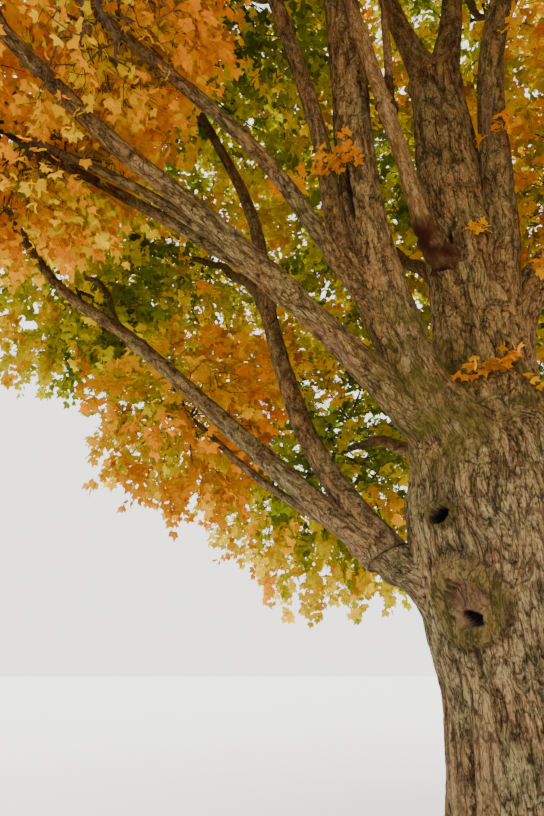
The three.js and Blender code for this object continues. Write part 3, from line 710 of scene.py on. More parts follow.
class Trunk:
    """The trunk: its axis, its girth, and where limbs are seated on it."""

    name = "trunk"
    parent = None
    kind = WoodKind.BARK
    stout = TRUNK_GIRTH[0][1]
    ridges = TRUNK_RIDGES
    relief = TRUNK_RELIEF

    def axis(self, heights: np.ndarray) -> np.ndarray:
        """Returns the axis's points at heights above the ground."""
        share = np.asarray(heights, dtype=float) / TRUNK_TOP
        bow = TRUNK_BOW * np.sin(np.pi * share)
        return np.stack([bow, TRUNK_LEAN * share, share * TRUNK_TOP], axis=-1)

    def radius(self, heights: np.ndarray, angles: np.ndarray) -> np.ndarray:
        """Works out the radius, with the root flare.

        Args:
            heights: heights above the ground.
            angles: headings in radians.

        Returns:
            A radius for each.
        """
        flare = ROOT_FLARE * np.exp(-np.asarray(heights) / FLARE_HEIGHT)
        turn = BUTTRESSES * angles + BUTTRESS_SHIFT * np.sin(2 * angles)
        buttress = 0.5 + 0.5 * np.cos(turn)
        return table_at(TRUNK_GIRTH, heights) + flare * (FLARE_BETWEEN + buttress)

    def seat(self, at: float) -> tuple[np.ndarray, float]:
        """Returns the point at a height where a limb starts, and how deep it is buried."""
        return self.axis(np.array(at)), float(table_at(TRUNK_GIRTH, np.array(at)))

    def place(self, at: float, facing: np.ndarray) -> tuple[float, float]:
        """Returns how far along the rings a height lies, and the angle of the side that faces so."""
        return at, math.atan2(facing[1], facing[0])

    def grid(self) -> Grid:
        """Returns the rings of the trunk's skin."""
        step, sides = TRUNK_MESH
        low, high = KNOTTY
        spans = ((0, low, step), (low, high, step / 2), (high, TRUNK_TOP, step))
        runs = [np.arange(start, end - gap / 2, gap) for start, end, gap in spans]
        heights = np.concatenate([*runs, [TRUNK_TOP]])
        angles = np.arange(sides) * 2 * np.pi / sides
        round_it = np.stack([np.cos(angles), np.sin(angles), np.zeros(sides)], axis=-1)
        radials = np.broadcast_to(round_it, (len(heights), sides, 3))
        radii = self.radius(heights[:, None], angles[None])
        return Grid(self.axis(heights), radials, radii, heights, angles)

    def gap(self, points: np.ndarray) -> np.ndarray:
        """Measures how far points lie outside the trunk.

        Args:
            points: n points.

        Returns:
            One distance for each, below 0 inside.
        """
        heights = np.clip(points[:, 2], 0, TRUNK_TOP)
        away = points - self.axis(heights)
        angles = np.arctan2(away[:, 1], away[:, 0])
        level = np.hypot(away[:, 0], away[:, 1]) - self.radius(heights, angles)
        return np.where(np.abs(away[:, 2]) > 0, np.hypot(np.maximum(level, 0), away[:, 2]), level)

    def reach(self) -> tuple[np.ndarray, np.ndarray]:
        """Returns the corners of a box round the trunk."""
        side = self.stout + ROOT_FLARE
        return np.array([-side, -side, 0]), np.array([side, side, TRUNK_TOP])

    def balls(self) -> tuple[np.ndarray, np.ndarray]:
        """Returns balls that fill the trunk, as middles and radii."""
        heights = np.linspace(0, TRUNK_TOP, round(TRUNK_TOP / TRUNK_BALL_STEP) + 1)
        return self.axis(heights), self.radius(heights, np.zeros(len(heights)))


class Limb:
    """One tapering limb, worked out from its sizes and its parent."""

    def __init__(self, spec: LimbSpec, parent: "Trunk | Limb") -> None:
        """Works out the limb's line.

        Args:
            spec: the limb's named sizes.
            parent: the wood that it grows from.
        """
        self.spec = spec
        self.parent = parent
        self.name = spec.name
        self.kind = spec.kind
        self.stout = spec.girth[0]
        self.ridges = LIMB_RIDGES[0] + LIMB_RIDGES[1] * self.stout
        self.relief = LIMB_RELIEF * self.stout
        start, self._buried = parent.seat(spec.at)
        self.tip = np.array(spec.tip)
        chord = float(np.linalg.norm(self.tip - start))
        if spec.via:
            self._line = Line.through([start, *(np.array(p) for p in spec.via), self.tip])
        else:
            off = start + direction(*spec.off) * chord * spec.pull[0] / 3
            on = self.tip - direction(*spec.on) * chord * spec.pull[1] / 3
            self._line = Line.between(start, off, on, self.tip)
        self.length = self._line.length
        self.fork = self._line.points(np.array([self._buried / self.length]))[0]
        random = SeededRandom(spec.name)
        self._phases = (random.next() * 2 * math.pi, random.next() * 2 * math.pi)
        along = (self.tip - start) / chord
        self.side = unit(np.cross(along, SIDEWAYS))
        self._up = np.cross(self.side, along)

    def points(self, shares: np.ndarray) -> np.ndarray:
        """Finds the axis's points.

        Args:
            shares: shares of the limb's length.

        Returns:
            A point for each.
        """
        shares = np.asarray(shares, dtype=float)
        line = self._line.points(shares)
        if self.spec.via:
            return line
        sway = (WOBBLE * self.length * np.sin(np.pi * shares))[:, None]
        line = line + sway * np.sin(WAVES[0] * np.pi * shares + self._phases[0])[:, None] * self.side
        return line + sway * np.sin(WAVES[1] * np.pi * shares + self._phases[1])[:, None] * self._up

    def radii(self, shares: np.ndarray) -> np.ndarray:
        """Works out the radius, with the collar where the limb leaves its parent.

        Args:
            shares: shares of the limb's length.

        Returns:
            A radius for each.
        """
        shares = np.asarray(shares, dtype=float)
        r0, r1 = self.spec.girth
        out = np.maximum(0, shares * self.length - self._buried)
        return r0 + (r1 - r0) * shares**TAPER + COLLAR * r0 * np.exp(-out / (COLLAR_LENGTH * r0))

    def frames(self, shares: np.ndarray) -> tuple[np.ndarray, np.ndarray, np.ndarray]:
        """Works out which way the limb runs.

        Args:
            shares: shares of the limb's length.

        Returns:
            The directions ahead, to the side and up at each.
        """
        shares = np.asarray(shares, dtype=float)
        before = self.points(np.maximum(0, shares - NUDGE))
        ahead = unit(self.points(np.minimum(1, shares + NUDGE)) - before)
        side = unit(self.side - ahead * (ahead @ self.side)[:, None])
        return ahead, side, np.cross(ahead, side)

    def seat(self, at: float) -> tuple[np.ndarray, float]:
        """Returns the point at a share of the length where a limb starts, and how deep."""
        return self.points(np.array([at]))[0], float(self.radii(np.array([at]))[0])

    def place(self, at: float, facing: np.ndarray) -> tuple[float, float]:
        """Returns how far along the rings a share lies, and the angle of the side that faces so."""
        _, side, up = self.frames(np.array([at]))
        return at * self.length, math.atan2(facing @ up[0], facing @ side[0])

    def grid(self) -> Grid:
        """Returns the rings of the limb's skin."""
        step, spacing, fewest, most = LIMB_MESH
        shares = np.linspace(0, 1, max(FEWEST_RINGS, round(self.length / step)) + 1)
        sides = int(np.clip(round(2 * np.pi * self.stout / spacing), fewest, most))
        angles = np.arange(sides) * 2 * np.pi / sides
        _, side, up = self.frames(shares)
        radials = directions_round(side, up, angles)
        radii = np.repeat(self.radii(shares)[:, None], sides, axis=1)
        return Grid(self.points(shares), radials, radii, shares * self.length, angles)

    def gap(self, points: np.ndarray) -> np.ndarray:
        """Measures how far points lie outside the limb.

        Args:
            points: n points.

        Returns:
            One distance for each, below 0 inside.
        """
        middles, radii = self.balls()
        gap = np.full(len(points), np.inf)
        for a, b, ra, rb in zip(middles, middles[1:], radii, radii[1:]):
            share = np.clip((points - a) @ (b - a) / max((b - a) @ (b - a), TINY), 0, 1)
            apart = np.linalg.norm(points - a - share[:, None] * (b - a), axis=1)
            gap = np.minimum(gap, apart - ra - share * (rb - ra))
        return gap

    def reach(self) -> tuple[np.ndarray, np.ndarray]:
        """Returns the corners of a box round the limb."""
        middles, radii = self.balls()
        return (middles - radii[:, None]).min(axis=0), (middles + radii[:, None]).max(axis=0)

    def balls(self) -> tuple[np.ndarray, np.ndarray]:
        """Returns balls that fill the limb, as middles and radii."""
        shares = np.linspace(0, 1, math.ceil(self.length / BALL_STEP) + 1)
        return self.points(shares), self.radii(shares)


class Wood:
    """The trunk and all its limbs."""

    def __init__(self) -> None:
        """Works out every limb, each from its parent."""
        self.trunk = Trunk()
        self.limbs: dict[str, Limb] = {}
        for spec in (*LIMBS, DEAD_LIMB, DEAD_FORK):
            parent = self.trunk if spec.parent == "trunk" else self.limbs[spec.parent]
            self.limbs[spec.name] = Limb(spec, parent)
        pairs = [limb.balls() for limb in self.limbs.values()] + [self.trunk.balls()]
        self.middles = np.vstack([middles for middles, _ in pairs])
        self.radii = np.concatenate([radii for _, radii in pairs])

    def part(self, name: str) -> Trunk | Limb:
        """Returns the trunk or a limb by its name."""
        return self.limbs.get(name, self.trunk)

    def near(self, centre: np.ndarray, reach: float) -> tuple[np.ndarray, np.ndarray]:
        """Returns the balls of wood within reach of a centre, as middles and radii."""
        close = np.linalg.norm(self.middles - centre, axis=1) < reach + self.radii
        return self.middles[close], self.radii[close]


class View:
    """What stands between the photograph's standpoint and the limbs."""

    def __init__(self, wood: Wood) -> None:
        """Works out how the wood lies as seen from there.

        Args:
            wood: the trunk and the limbs.
        """
        away = wood.middles - STANDPOINT
        self._far = np.linalg.norm(away, axis=1)
        self._towards = unit(away)
        self._least = np.cos((wood.radii + BARE_MARGIN) / self._far)

    def opens(self, points: np.ndarray, shares: np.ndarray) -> np.ndarray:
        """Returns which points leave the view open.

        Args:
            points: n points.
            shares: n random numbers from 0 to 1, by which a few points may stay all the same.

        Returns:
            Whether each neither hides a limb nor lies near the standpoint.
        """
        away = points - STANDPOINT
        far = np.linalg.norm(away, axis=1)
        before = (unit(away) @ self._towards.T > self._least) & (far[:, None] < self._far)
        near = smoothstep(NEAR_LEAVES[1], NEAR_LEAVES[0], far)
        return (shares > near) & ~(before.any(axis=1) & (shares < BARE_SHARE))


def clear_of(points: np.ndarray, balls: tuple[np.ndarray, np.ndarray], gap: float) -> np.ndarray:
    """Finds the points that balls leave free.

    Args:
        points: n points.
        balls: the balls' middles and radii.
        gap: how far from a ball a point has to lie.

    Returns:
        Whether each lies farther than that from all of them.
    """
    middles, radii = balls
    if not len(radii):
        return np.ones(len(points), dtype=bool)
    apart = np.linalg.norm(points[:, None, :] - middles[None, :, :], axis=2)
    return (apart > radii + gap).all(axis=1)


@dataclass
class Twigs:
    """A tree of twigs: points, each joined to its source, and which points are shoots' ends."""

    at: np.ndarray
    source: np.ndarray
    ends: np.ndarray

    def loads(self) -> np.ndarray:
        """Returns how many points each point carries, itself included."""
        load = np.ones(len(self.at))
        for i in range(len(self.at) - 1, 0, -1):
            load[self.source[i]] += load[i]
        return load


class Mass:
    """One mass of foliage: the space that it keeps to, and the twigs that grow in it."""

    def __init__(self, limb: Limb) -> None:
        """Places the mass just beyond its limb's tip.

        Args:
            limb: the limb that carries it.
        """
        self.limb = limb
        self.radius = limb.spec.crown
        self.ahead = unit(limb.tip - limb.points(np.array([1 - NUDGE]))[0])
        self.centre = limb.tip + self.ahead * MASS_AHEAD * self.radius
        self.node = "foliage_" + limb.name

    def depth(self, points: np.ndarray, masses: Sequence["Mass"]) -> np.ndarray:
        """Returns how far inside the mass's own space points lie.

        Args:
            points: n points.
            masses: all masses; a plane towards each neighbour bounds the space.

        Returns:
            One depth for each point, below 0 outside.
        """
        own = np.linalg.norm(points - self.centre, axis=1)
        depth = self.radius - own
        for other in masses:
            apart = float(np.linalg.norm(self.centre - other.centre))
            if other is self or apart > self.radius + other.radius:
                continue
            theirs = np.linalg.norm(points - other.centre, axis=1)
            power = (theirs**2 - other.radius**2 - own**2 + self.radius**2) / (2 * apart)
            depth = np.minimum(depth, power)
        return depth

    def first_ends(self, masses: Sequence["Mass"], wood: Wood) -> list[np.ndarray]:
        """Finds the ends of the twigs that the part's source grows, by the same rule.

        Args:
            masses: all masses.
            wood: the wood that the twigs keep off.

        Returns:
            The ends, each the loneliest of a few tries.
        """
        balls = wood.near(self.centre, self.radius + NEARBY)
        usual = math.floor(TWIGS_PER_MASS * (self.radius / TYPICAL_MASS) ** 2 + 0.5)
        count = max(FEWEST_TWIGS, usual)
        random = SeededRandom(self.limb.name)
        ends: list[np.ndarray] = []
        misses = 0
        while len(ends) < count and misses < MISSES * count:
            best, loneliest = None, -1.0
            tries = 0
            while tries < TRIES:
                p = np.array([random.next() * 2 - 1, random.next() * 2 - 1, random.next() * 2 - 1])
                if not CORE <= np.linalg.norm(p) <= 1:
                    continue
                tries += 1
                p = p * self.radius + self.centre
                deep = self.depth(p[None], masses)[0] >= CELL_CLEAR + SPRAY_WIDTH / 4
                if not deep or not clear_of(p[None], balls, LEAF_CLEAR)[0]:
                    misses += 1
                    continue
                lonely = min([self.radius] + [float(np.linalg.norm(e - p)) for e in ends])
                if lonely > loneliest:
                    best, loneliest = p, lonely
            if best is not None:
                ends.append(best)
        return ends

    def fine_ends(self, masses: Sequence["Mass"], wood: Wood, first: Sequence[np.ndarray]) -> np.ndarray:
        """Finds the ends of the finer twigs.

        Args:
            masses: all masses.
            wood: the wood that the twigs keep off.
            first: the ends of the part's own twigs.

        Returns:
            The ends, again each the loneliest of a few tries.
        """
        balls = wood.near(self.centre, self.radius + NEARBY)
        spec = self.limb.spec
        typical = (self.radius / TYPICAL_MASS) ** FINE_POWER
        count = int(FINE_ENDS * typical * spec.dense / spec.leaf**2)
        rng = np.random.default_rng(sum(map(ord, self.limb.name)))
        tried = count * FINE_TRIES
        tries = unit(rng.normal(size=(tried, 3))) * (rng.random((tried, 1)) ** FINE_OUTWARD)
        points = tries * self.radius + self.centre
        points = points[self.depth(points, masses) > FINE_MARGIN]
        points = points[clear_of(points, balls, LEAF_CLEAR * 2)]
        low, high = (np.array(corner) for corner in CAD_BOX)
        margin = SHOOT_LENGTH / 2
        points = points[((points > low + margin) & (points < high - margin)).all(axis=1)]
        count = min(count, len(points) // FEWEST_TRIES)
        ends = np.array(first)
        for batch in np.array_split(points, max(count, 1)):
            apart = np.linalg.norm(batch[:, None] - ends[None], axis=2).min(axis=1)
            ends = np.vstack([ends, batch[apart.argmax()]])
        return ends[len(first):]

    def own_twigs(
        self, ends: Sequence[np.ndarray],
    ) -> tuple[list[np.ndarray], list[int], list[float]]:
        """Grows the part's own twigs, always the one that costs least next.

        Args:
            ends: their ends.

        Returns:
            Their points, each point's source, and its way from the stem's foot.
        """
        foot = self.limb.tip + self.ahead * CLEAR
        at = [foot, foot + self.ahead * STEM * self.radius]
        source, run = [-1, 0], [0.0, 0.0]
        waiting = list(ends)
        bends = np.random.default_rng(len(self.limb.name) * 17 + int(self.radius * 100))
        while waiting:
            costs = [(np.linalg.norm(a - e) * (1 + BALANCE) + BALANCE * r, j, k)
                     for j, e in enumerate(waiting) for k, (a, r) in enumerate(zip(at, run)) if k]
            _, j, k = min(costs, key=lambda row: row[0])
            end = waiting.pop(j)
            span = float(np.linalg.norm(end - at[k]))
            steps = max(1, round(span / TWIG_STEP))
            begin, last = at[k], k
            sway = bends.normal(size=3) * TWIG_SWAY * span
            for step in range(1, steps + 1):
                share = step / steps
                at.append(begin + (end - begin) * share + sway * math.sin(math.pi * share))
                source.append(last)
                run.append(run[last] + span / steps)
                last = len(at) - 1
        return at, source, run

    def grow(self, masses: Sequence["Mass"], wood: Wood) -> Twigs:
        """Grows the mass's twigs: the part's own, and finer ones on them.

        Args:
            masses: all masses.
            wood: the wood that the twigs keep off.

        Returns:
            The twigs, from the stem's foot outwards.
        """
        first = self.first_ends(masses, wood)
        at, source, run = self.own_twigs(first)
        fine = self.fine_ends(masses, wood, first)
        points, sources, runs = np.array(at), source, np.array(run)
        apart = np.linalg.norm(fine[:, None] - points[None, 1:], axis=2)
        cost = apart * (1 + FINE_BALANCE) + FINE_BALANCE * runs[None, 1:]
        best, price = cost.argmin(axis=1) + 1, cost.min(axis=1)
        todo = np.ones(len(fine), dtype=bool)
        ends = []
        for _ in range(len(fine)):
            j = int(np.where(todo, price, np.inf).argmin())
            todo[j] = False
            new = len(points)
            gap = float(np.linalg.norm(fine[j] - points[best[j]]))
            points = np.vstack([points, fine[j]])
            sources.append(int(best[j]))
            runs = np.append(runs, runs[best[j]] + gap)
            ends.append(new)
            fresh = np.linalg.norm(fine - fine[j], axis=1)
            fresh = fresh * (1 + FINE_BALANCE) + FINE_BALANCE * runs[new]
            closer = fresh < price
            best, price = np.where(closer, new, best), np.where(closer, fresh, price)
        return Twigs(points, np.array(sources), np.array(ends))


@dataclass
class Batch:
    """Triangles that will become one mesh."""

    points: np.ndarray
    faces: np.ndarray

    @classmethod
    def joined(cls, batches: Sequence["Batch"]) -> "Batch":
        """Joins several batches.

        Args:
            batches: the batches.

        Returns:
            One batch of all their triangles.
        """
        offsets = np.cumsum([0] + [len(b.points) for b in batches[:-1]])
        return cls(
            np.vstack([b.points for b in batches]),
            np.vstack([b.faces + offset for b, offset in zip(batches, offsets)]),
        )


def make_piece(name: str, batch: Batch, smooth: bool = False) -> bpy.types.Object:
    """Makes a mesh object from triangles.

    Args:
        name: the piece's name.
        batch: its points and triangles.
        smooth: whether it is shaded smooth.

    Returns:
        The object, linked to the scene.
    """
    mesh = bpy.data.meshes.new(name)
    count = len(batch.faces)
    mesh.vertices.add(len(batch.points))
    mesh.vertices.foreach_set("co", batch.points.astype(np.float32).ravel())
    mesh.loops.add(count * 3)
    mesh.loops.foreach_set("vertex_index", batch.faces.astype(np.int32).ravel())
    mesh.polygons.add(count)
    mesh.polygons.foreach_set("loop_start", np.arange(0, count * 3, 3, dtype=np.int32))
    mesh.polygons.foreach_set("use_smooth", np.full(count, smooth))
    mesh.update(calc_edges=True)
    mesh.validate()
    piece = bpy.data.objects.new(name, mesh)
    bpy.context.scene.collection.objects.link(piece)
    return piece


def tubes(
    a: np.ndarray, b: np.ndarray, ra: np.ndarray, rb: np.ndarray, sides: int,
    low: np.ndarray | None = None, high: np.ndarray | None = None,
) -> Batch:
    """Returns straight open tubes from points a to points b.

    Args:
        a: where each tube starts.
        b: where each ends.
        ra: the radius at each start.
        rb: the radius at each end.
        sides: how many sides each has.
        low: the direction that each first ring faces, along its tube if not given.
        high: the direction that each last ring faces.

    Returns:
        The tubes' triangles.
    """
    ahead = unit(b - a)
    angles = np.arange(sides) * 2 * np.pi / sides
    rings = []
    ends = ((a, ra, ahead if low is None else low), (b, rb, ahead if high is None else high))
    for middle, radius, facing in ends:
        across = unit(np.cross(facing, ANY_WAY))
        ring = directions_round(across, np.cross(facing, across), angles)
        rings.append(middle[:, None] + ring * radius[:, None, None])
    points = np.concatenate(rings, axis=1).reshape(-1, 3)
    i = np.arange(sides)
    j = (i + 1) % sides
    quads = np.concatenate([np.stack([i, j, j + sides], 1), np.stack([i, j + sides, i + sides], 1)])
    faces = (quads[None] + (np.arange(len(a)) * 2 * sides)[:, None, None]).reshape(-1, 3)
    return Batch(points, faces)


def spikes(a: np.ndarray, b: np.ndarray, radius: float) -> Batch:
    """Returns slim three-sided spikes from points a to points b.

    Args:
        a: where each spike starts.
        b: where each ends.
        radius: the radius at each start.

    Returns:
        The spikes' triangles.
    """
    ring = tubes(a, b, np.full(len(a), radius), np.zeros(len(a)), 3).points.reshape(-1, 6, 3)
    points = np.concatenate([ring[:, :3], b[:, None]], axis=1).reshape(-1, 3)
    faces = np.array([(0, 1, 3), (1, 2, 3), (2, 0, 3)])[None] + (np.arange(len(a)) * 4)[:, None, None]
    return Batch(points, faces.reshape(-1, 3))


class Shader:
    """A material's nodes, added by short calls."""

    def __init__(self, name: str) -> None:
        """Starts an empty material.

        Args:
            name: its name.
        """
        self.material = bpy.data.materials.new(name)
        self.material.use_nodes = True
        self.tree = self.material.node_tree
        self.tree.nodes.clear()

    def node(self, kind: str, inputs: dict | None = None, **settings: object) -> bpy.types.Node:
        """Adds a node to the material, as add_node does."""
        return add_node(self.tree, kind, inputs, **settings)

    def mask(self, name: str) -> bpy.types.NodeSocket:
        """Returns a named value that the mesh carries at each point."""
        return self.node("ShaderNodeAttribute", attribute_name=name).outputs["Fac"]

    def mix(
        self, share: object, first: object, second: object, blend: str = "MIX",
    ) -> bpy.types.NodeSocket:
        """Mixes two colours. Each input is a value or a socket.

        Args:
            share: how much of the second colour is mixed in.
            first: the colour underneath.
            second: the colour on top.
            blend: the way in which they mix.

        Returns:
            The socket with the mixed colour.
        """
        node = self.node("ShaderNodeMix", data_type="RGBA", blend_type=blend)
        for index, value in ((0, share), (6, first), (7, second)):
            if isinstance(value, bpy.types.NodeSocket):
                self.tree.links.new(value, node.inputs[index])
            else:
                node.inputs[index].default_value = value
        return node.outputs[2]

    def sum_of(self, *terms: tuple[bpy.types.NodeSocket, float]) -> bpy.types.NodeSocket:
        """Returns the sum of values, each times its weight."""
        total = 0.0
        for value, weight in terms:
            step = self.node("ShaderNodeMath", {0: value, 1: weight, 2: total}, operation="MULTIPLY_ADD")
            total = step.outputs[0]
        return total

    def ramp(self, share: object, stops: Sequence[tuple[float, Sequence[float]]]) -> bpy.types.NodeSocket:
        """Looks a colour up on a ramp.

        Args:
            share: a value or a socket that says where on the ramp.
            stops: places on it from 0 to 1, each with its colour.

        Returns:
            The socket with the colour.
        """
        node = self.node("ShaderNodeValToRGB", {"Fac": share})
        elements = node.color_ramp.elements
        elements.remove(elements[-1])
        elements[0].position, elements[0].color = stops[0][0], (*stops[0][1], 1)
        for place, colour in stops[1:]:
            elements.new(place).color = (*colour, 1)
        return node.outputs["Color"]

    def finish(self, surface: bpy.types.NodeSocket) -> bpy.types.Material:
        """Puts the surface out and returns the material."""
        end = self.node("ShaderNodeOutputMaterial")
        self.tree.links.new(surface, end.inputs["Surface"])
        return self.material


def add_node(
    tree: bpy.types.NodeTree, kind: str, inputs: dict | None = None, **settings: object,
) -> bpy.types.Node:
    """Adds a node to a tree.

    Args:
        tree: the tree.
        kind: the node's type.
        inputs: values, or sockets to link from, for its inputs.
        settings: the node's own properties.

    Returns:
        The node.
    """
    node = tree.nodes.new(kind)
    for key, value in settings.items():
        setattr(node, key, value)
    for key, value in (inputs or {}).items():
        if isinstance(value, bpy.types.NodeSocket):
            tree.links.new(value, node.inputs[key])
        else:
            node.inputs[key].default_value = value
    return node


class GrainGroup:
    """Thin cracks that run along the grain, and the fibres between them.

    BEND is how far the fibres' noise bends the cracks. A crack is a line in a noise, or an edge
    between flakes where patches of another noise allow it; each pair of limits gives where it is
    full and where it has faded.
    """

    BEND = (0.03, 0.03, 0.05)
    LINES = (0.002, 0.022)
    EDGES = (0.0, 0.08)
    PATCHES = (0.55, 0.42)

    def __init__(self) -> None:
        """Builds the node group, which puts out both masks and a normal that they bump."""
        tree = bpy.data.node_groups.new("wood_grain", "ShaderNodeTree")
        for name in ("Scale", "Strength", "Depth"):
            tree.interface.new_socket(name, in_out="INPUT", socket_type="NodeSocketFloat")
        tree.interface.new_socket("Normal", in_out="INPUT", socket_type="NodeSocketVector")
        for name in ("Cracks", "Fibres"):
            tree.interface.new_socket(name, in_out="OUTPUT", socket_type="NodeSocketFloat")
        tree.interface.new_socket("Normal", in_out="OUTPUT", socket_type="NodeSocketVector")
        self._tree = tree
        start = add_node(tree, "NodeGroupInput")
        grain = add_node(tree, "ShaderNodeAttribute", attribute_name="grain").outputs["Vector"]
        scale = start.outputs["Scale"]
        fibres = add_node(tree, "ShaderNodeTexNoise",
                          {"Vector": grain, "Scale": scale, "Detail": 9.0, "Roughness": 0.72})
        bent = add_node(tree, "ShaderNodeVectorMath", {
            0: fibres.outputs["Color"], 1: self.BEND, 2: grain,
        }, operation="MULTIPLY_ADD").outputs["Vector"]
        lines = add_node(tree, "ShaderNodeTexNoise", {"Vector": bent, "Scale": scale, "Detail": 1.0})
        off_line = self._math("ABSOLUTE", self._math("SUBTRACT", lines.outputs["Fac"], 0.5))
        flakes = add_node(tree, "ShaderNodeTexVoronoi", {"Vector": bent, "Scale": scale},
                          feature="DISTANCE_TO_EDGE")
        patches = add_node(tree, "ShaderNodeTexNoise", {"Vector": grain, "Scale": scale, "Detail": 1.0})
        broken = self._math("MULTIPLY", self._falls(flakes.outputs["Distance"], self.EDGES),
                            self._falls(patches.outputs["Fac"], self.PATCHES))
        cracks = self._math("MAXIMUM", self._falls(off_line, self.LINES), broken)
        height = self._math("SUBTRACT", fibres.outputs["Fac"], cracks)
        bump = add_node(tree, "ShaderNodeBump", {
            "Height": height, "Strength": start.outputs["Strength"],
            "Distance": start.outputs["Depth"], "Normal": start.outputs["Normal"],
        })
        end = add_node(tree, "NodeGroupOutput")
        tree.links.new(cracks, end.inputs["Cracks"])
        tree.links.new(fibres.outputs["Fac"], end.inputs["Fibres"])
        tree.links.new(bump.outputs["Normal"], end.inputs["Normal"])

    def _math(self, operation: str, *values: object) -> bpy.types.NodeSocket:
        """Returns the result of an operation on values."""
        inputs = dict(enumerate(values))
        return add_node(self._tree, "ShaderNodeMath", inputs, operation=operation).outputs[0]

    def _falls(self, value: bpy.types.NodeSocket, limits: tuple[float, float]) -> bpy.types.NodeSocket:
        """Returns 1 where a value is at the first limit, eased to 0 at the second."""
        return add_node(self._tree, "ShaderNodeMapRange", {
            "Value": value, "From Min": limits[0], "From Max": limits[1], "To Min": 1.0, "To Max": 0.0,
        }, interpolation_type="SMOOTHSTEP").outputs["Result"]

    def use(
        self, shader: Shader, values: tuple[float, float, float],
        normal: bpy.types.NodeSocket | None = None,
    ) -> bpy.types.Node:
        """Adds the group to a material.

        Args:
            shader: the material.
            values: cracks to a metre across the grain, how strongly they bump, and their depth.
            normal: what they bump, the mesh's own normal if not given.

        Returns:
            The group's node.
        """
        normal = normal or shader.node("ShaderNodeNewGeometry").outputs["Normal"]
        scale, strength, depth = values
        return shader.node("ShaderNodeGroup", {
            "Scale": scale, "Strength": strength, "Depth": depth, "Normal": normal,
        }, node_tree=self._tree)


@dataclass(frozen=True)
class BarkFinish:
    """Furrowed bark: dark in the furrows and cracks, partly its own colour and partly painted shade, and
    paler on the ridges, with scars, moss, rot and the painted shade of the knots' holes and creases.

    levels are the heights of the furrow, plate and ridge colours. broad and fine are the values of
    two grains, as GrainGroup takes them. casts say where warm and cool bark lie in a slow noise,
    flecks where lichen starts and where it is half full, and aloft_from between which heights
    above the ground the bark takes on its cast aloft. stain is how much of the bark shows through
    scars and moss.
    """

    furrow: tuple[float, float, float] = (0.014, 0.009, 0.005)
    plate: tuple[float, float, float] = (0.13, 0.088, 0.044)
    ridge: tuple[float, float, float] = (0.285, 0.215, 0.122)
    lichen: tuple[float, float, float] = (0.3, 0.28, 0.17)
    warm: tuple[float, float, float] = (1.0, 0.83, 0.68)
    cool: tuple[float, float, float] = (0.84, 0.88, 0.74)
    aloft: tuple[float, float, float] = (1.0, 0.88, 0.62)
    scar: tuple[float, float, float] = (0.25, 0.155, 0.09)
    moss: tuple[float, float, float] = (0.12, 0.098, 0.02)
    # the colour of rot, and of the painted shade in the knots' holes and creases
    rot: tuple[float, float, float] = (0.006, 0.004, 0.003)
    levels: tuple[float, float, float] = (0.26, 0.58, 0.8)
    broad: tuple[float, float, float] = (13.0, 0.9, 0.012)
    fine: tuple[float, float, float] = (44.0, 0.8, 0.006)
    casts: tuple[float, float] = (0.38, 0.62)
    flecks: tuple[float, float] = (0.56, 0.7)
    aloft_from: tuple[float, float] = (2.2, 3.6)
    stain: float = 0.6

    def material(self, grain: GrainGroup) -> bpy.types.Material:
        """Builds the material.

        Args:
            grain: the group that draws the cracks and fibres.

        Returns:
            The material.
        """
        shader = Shader("bark")
        broad = grain.use(shader, self.broad)
        fine = grain.use(shader, self.fine, normal=broad.outputs["Normal"])
        place = shader.node("ShaderNodeTexCoord").outputs["Object"]
        crust = shader.node("ShaderNodeTexNoise", {
            "Vector": place, "Scale": 38.0, "Detail": 9.0, "Roughness": 0.75,
        })
        height = shader.sum_of(
            (shader.mask("relief"), 0.26), (fine.outputs["Fibres"], 0.45), (crust.outputs["Fac"], 0.6),
            (broad.outputs["Cracks"], -0.22), (fine.outputs["Cracks"], -0.3),
        )
        # the near-black furrow colour is partly painted shade in the furrows and cracks
        colour = shader.ramp(height, tuple(zip(self.levels, (self.furrow, self.plate, self.ridge))))
        slow = shader.node("ShaderNodeTexNoise", {"Vector": place, "Scale": 2.3, "Detail": 5.0})
        cast = shader.ramp(slow.outputs["Fac"], tuple(zip(self.casts, (self.warm, self.cool))))
        colour = shader.mix(1.0, colour, cast, "MULTIPLY")
        height_up = shader.node("ShaderNodeSeparateXYZ", {"Vector": place}).outputs["Z"]
        up = shader.node("ShaderNodeMapRange", {
            "Value": height_up, "From Min": self.aloft_from[0], "From Max": self.aloft_from[1],
        })
        tinged = shader.mix(1.0, colour, (*self.aloft, 1), "MULTIPLY")
        colour = shader.mix(up.outputs["Result"], colour, tinged)
        spots = shader.node("ShaderNodeTexNoise", {
            "Vector": place, "Scale": 16.0, "Detail": 7.0, "Roughness": 0.7,
        })
        half_full = ((0, 0, 0), (0.5, 0.5, 0.5))
        spotted = shader.ramp(spots.outputs["Fac"], tuple(zip(self.flecks, half_full)))
        colour = shader.mix(spotted, colour, (*self.lichen, 1))
        for name, tone in (("scar", self.scar), ("moss", self.moss)):
            shaded = shader.mix(self.stain, (*tone, 1), colour, "SOFT_LIGHT")
            colour = shader.mix(shader.mask(name), colour, shaded)
        # rot, and the painted shade of the knots' holes and creases, take one near-black colour
        colour = shader.mix(shader.mask("rot"), colour, (*self.rot, 1))
        surface = shader.node("ShaderNodeBsdfPrincipled", {
            "Base Color": colour, "Roughness": 0.93, "Specular IOR Level": 0.1,
            "Normal": fine.outputs["Normal"],
        })
        return shader.finish(surface.outputs[0])


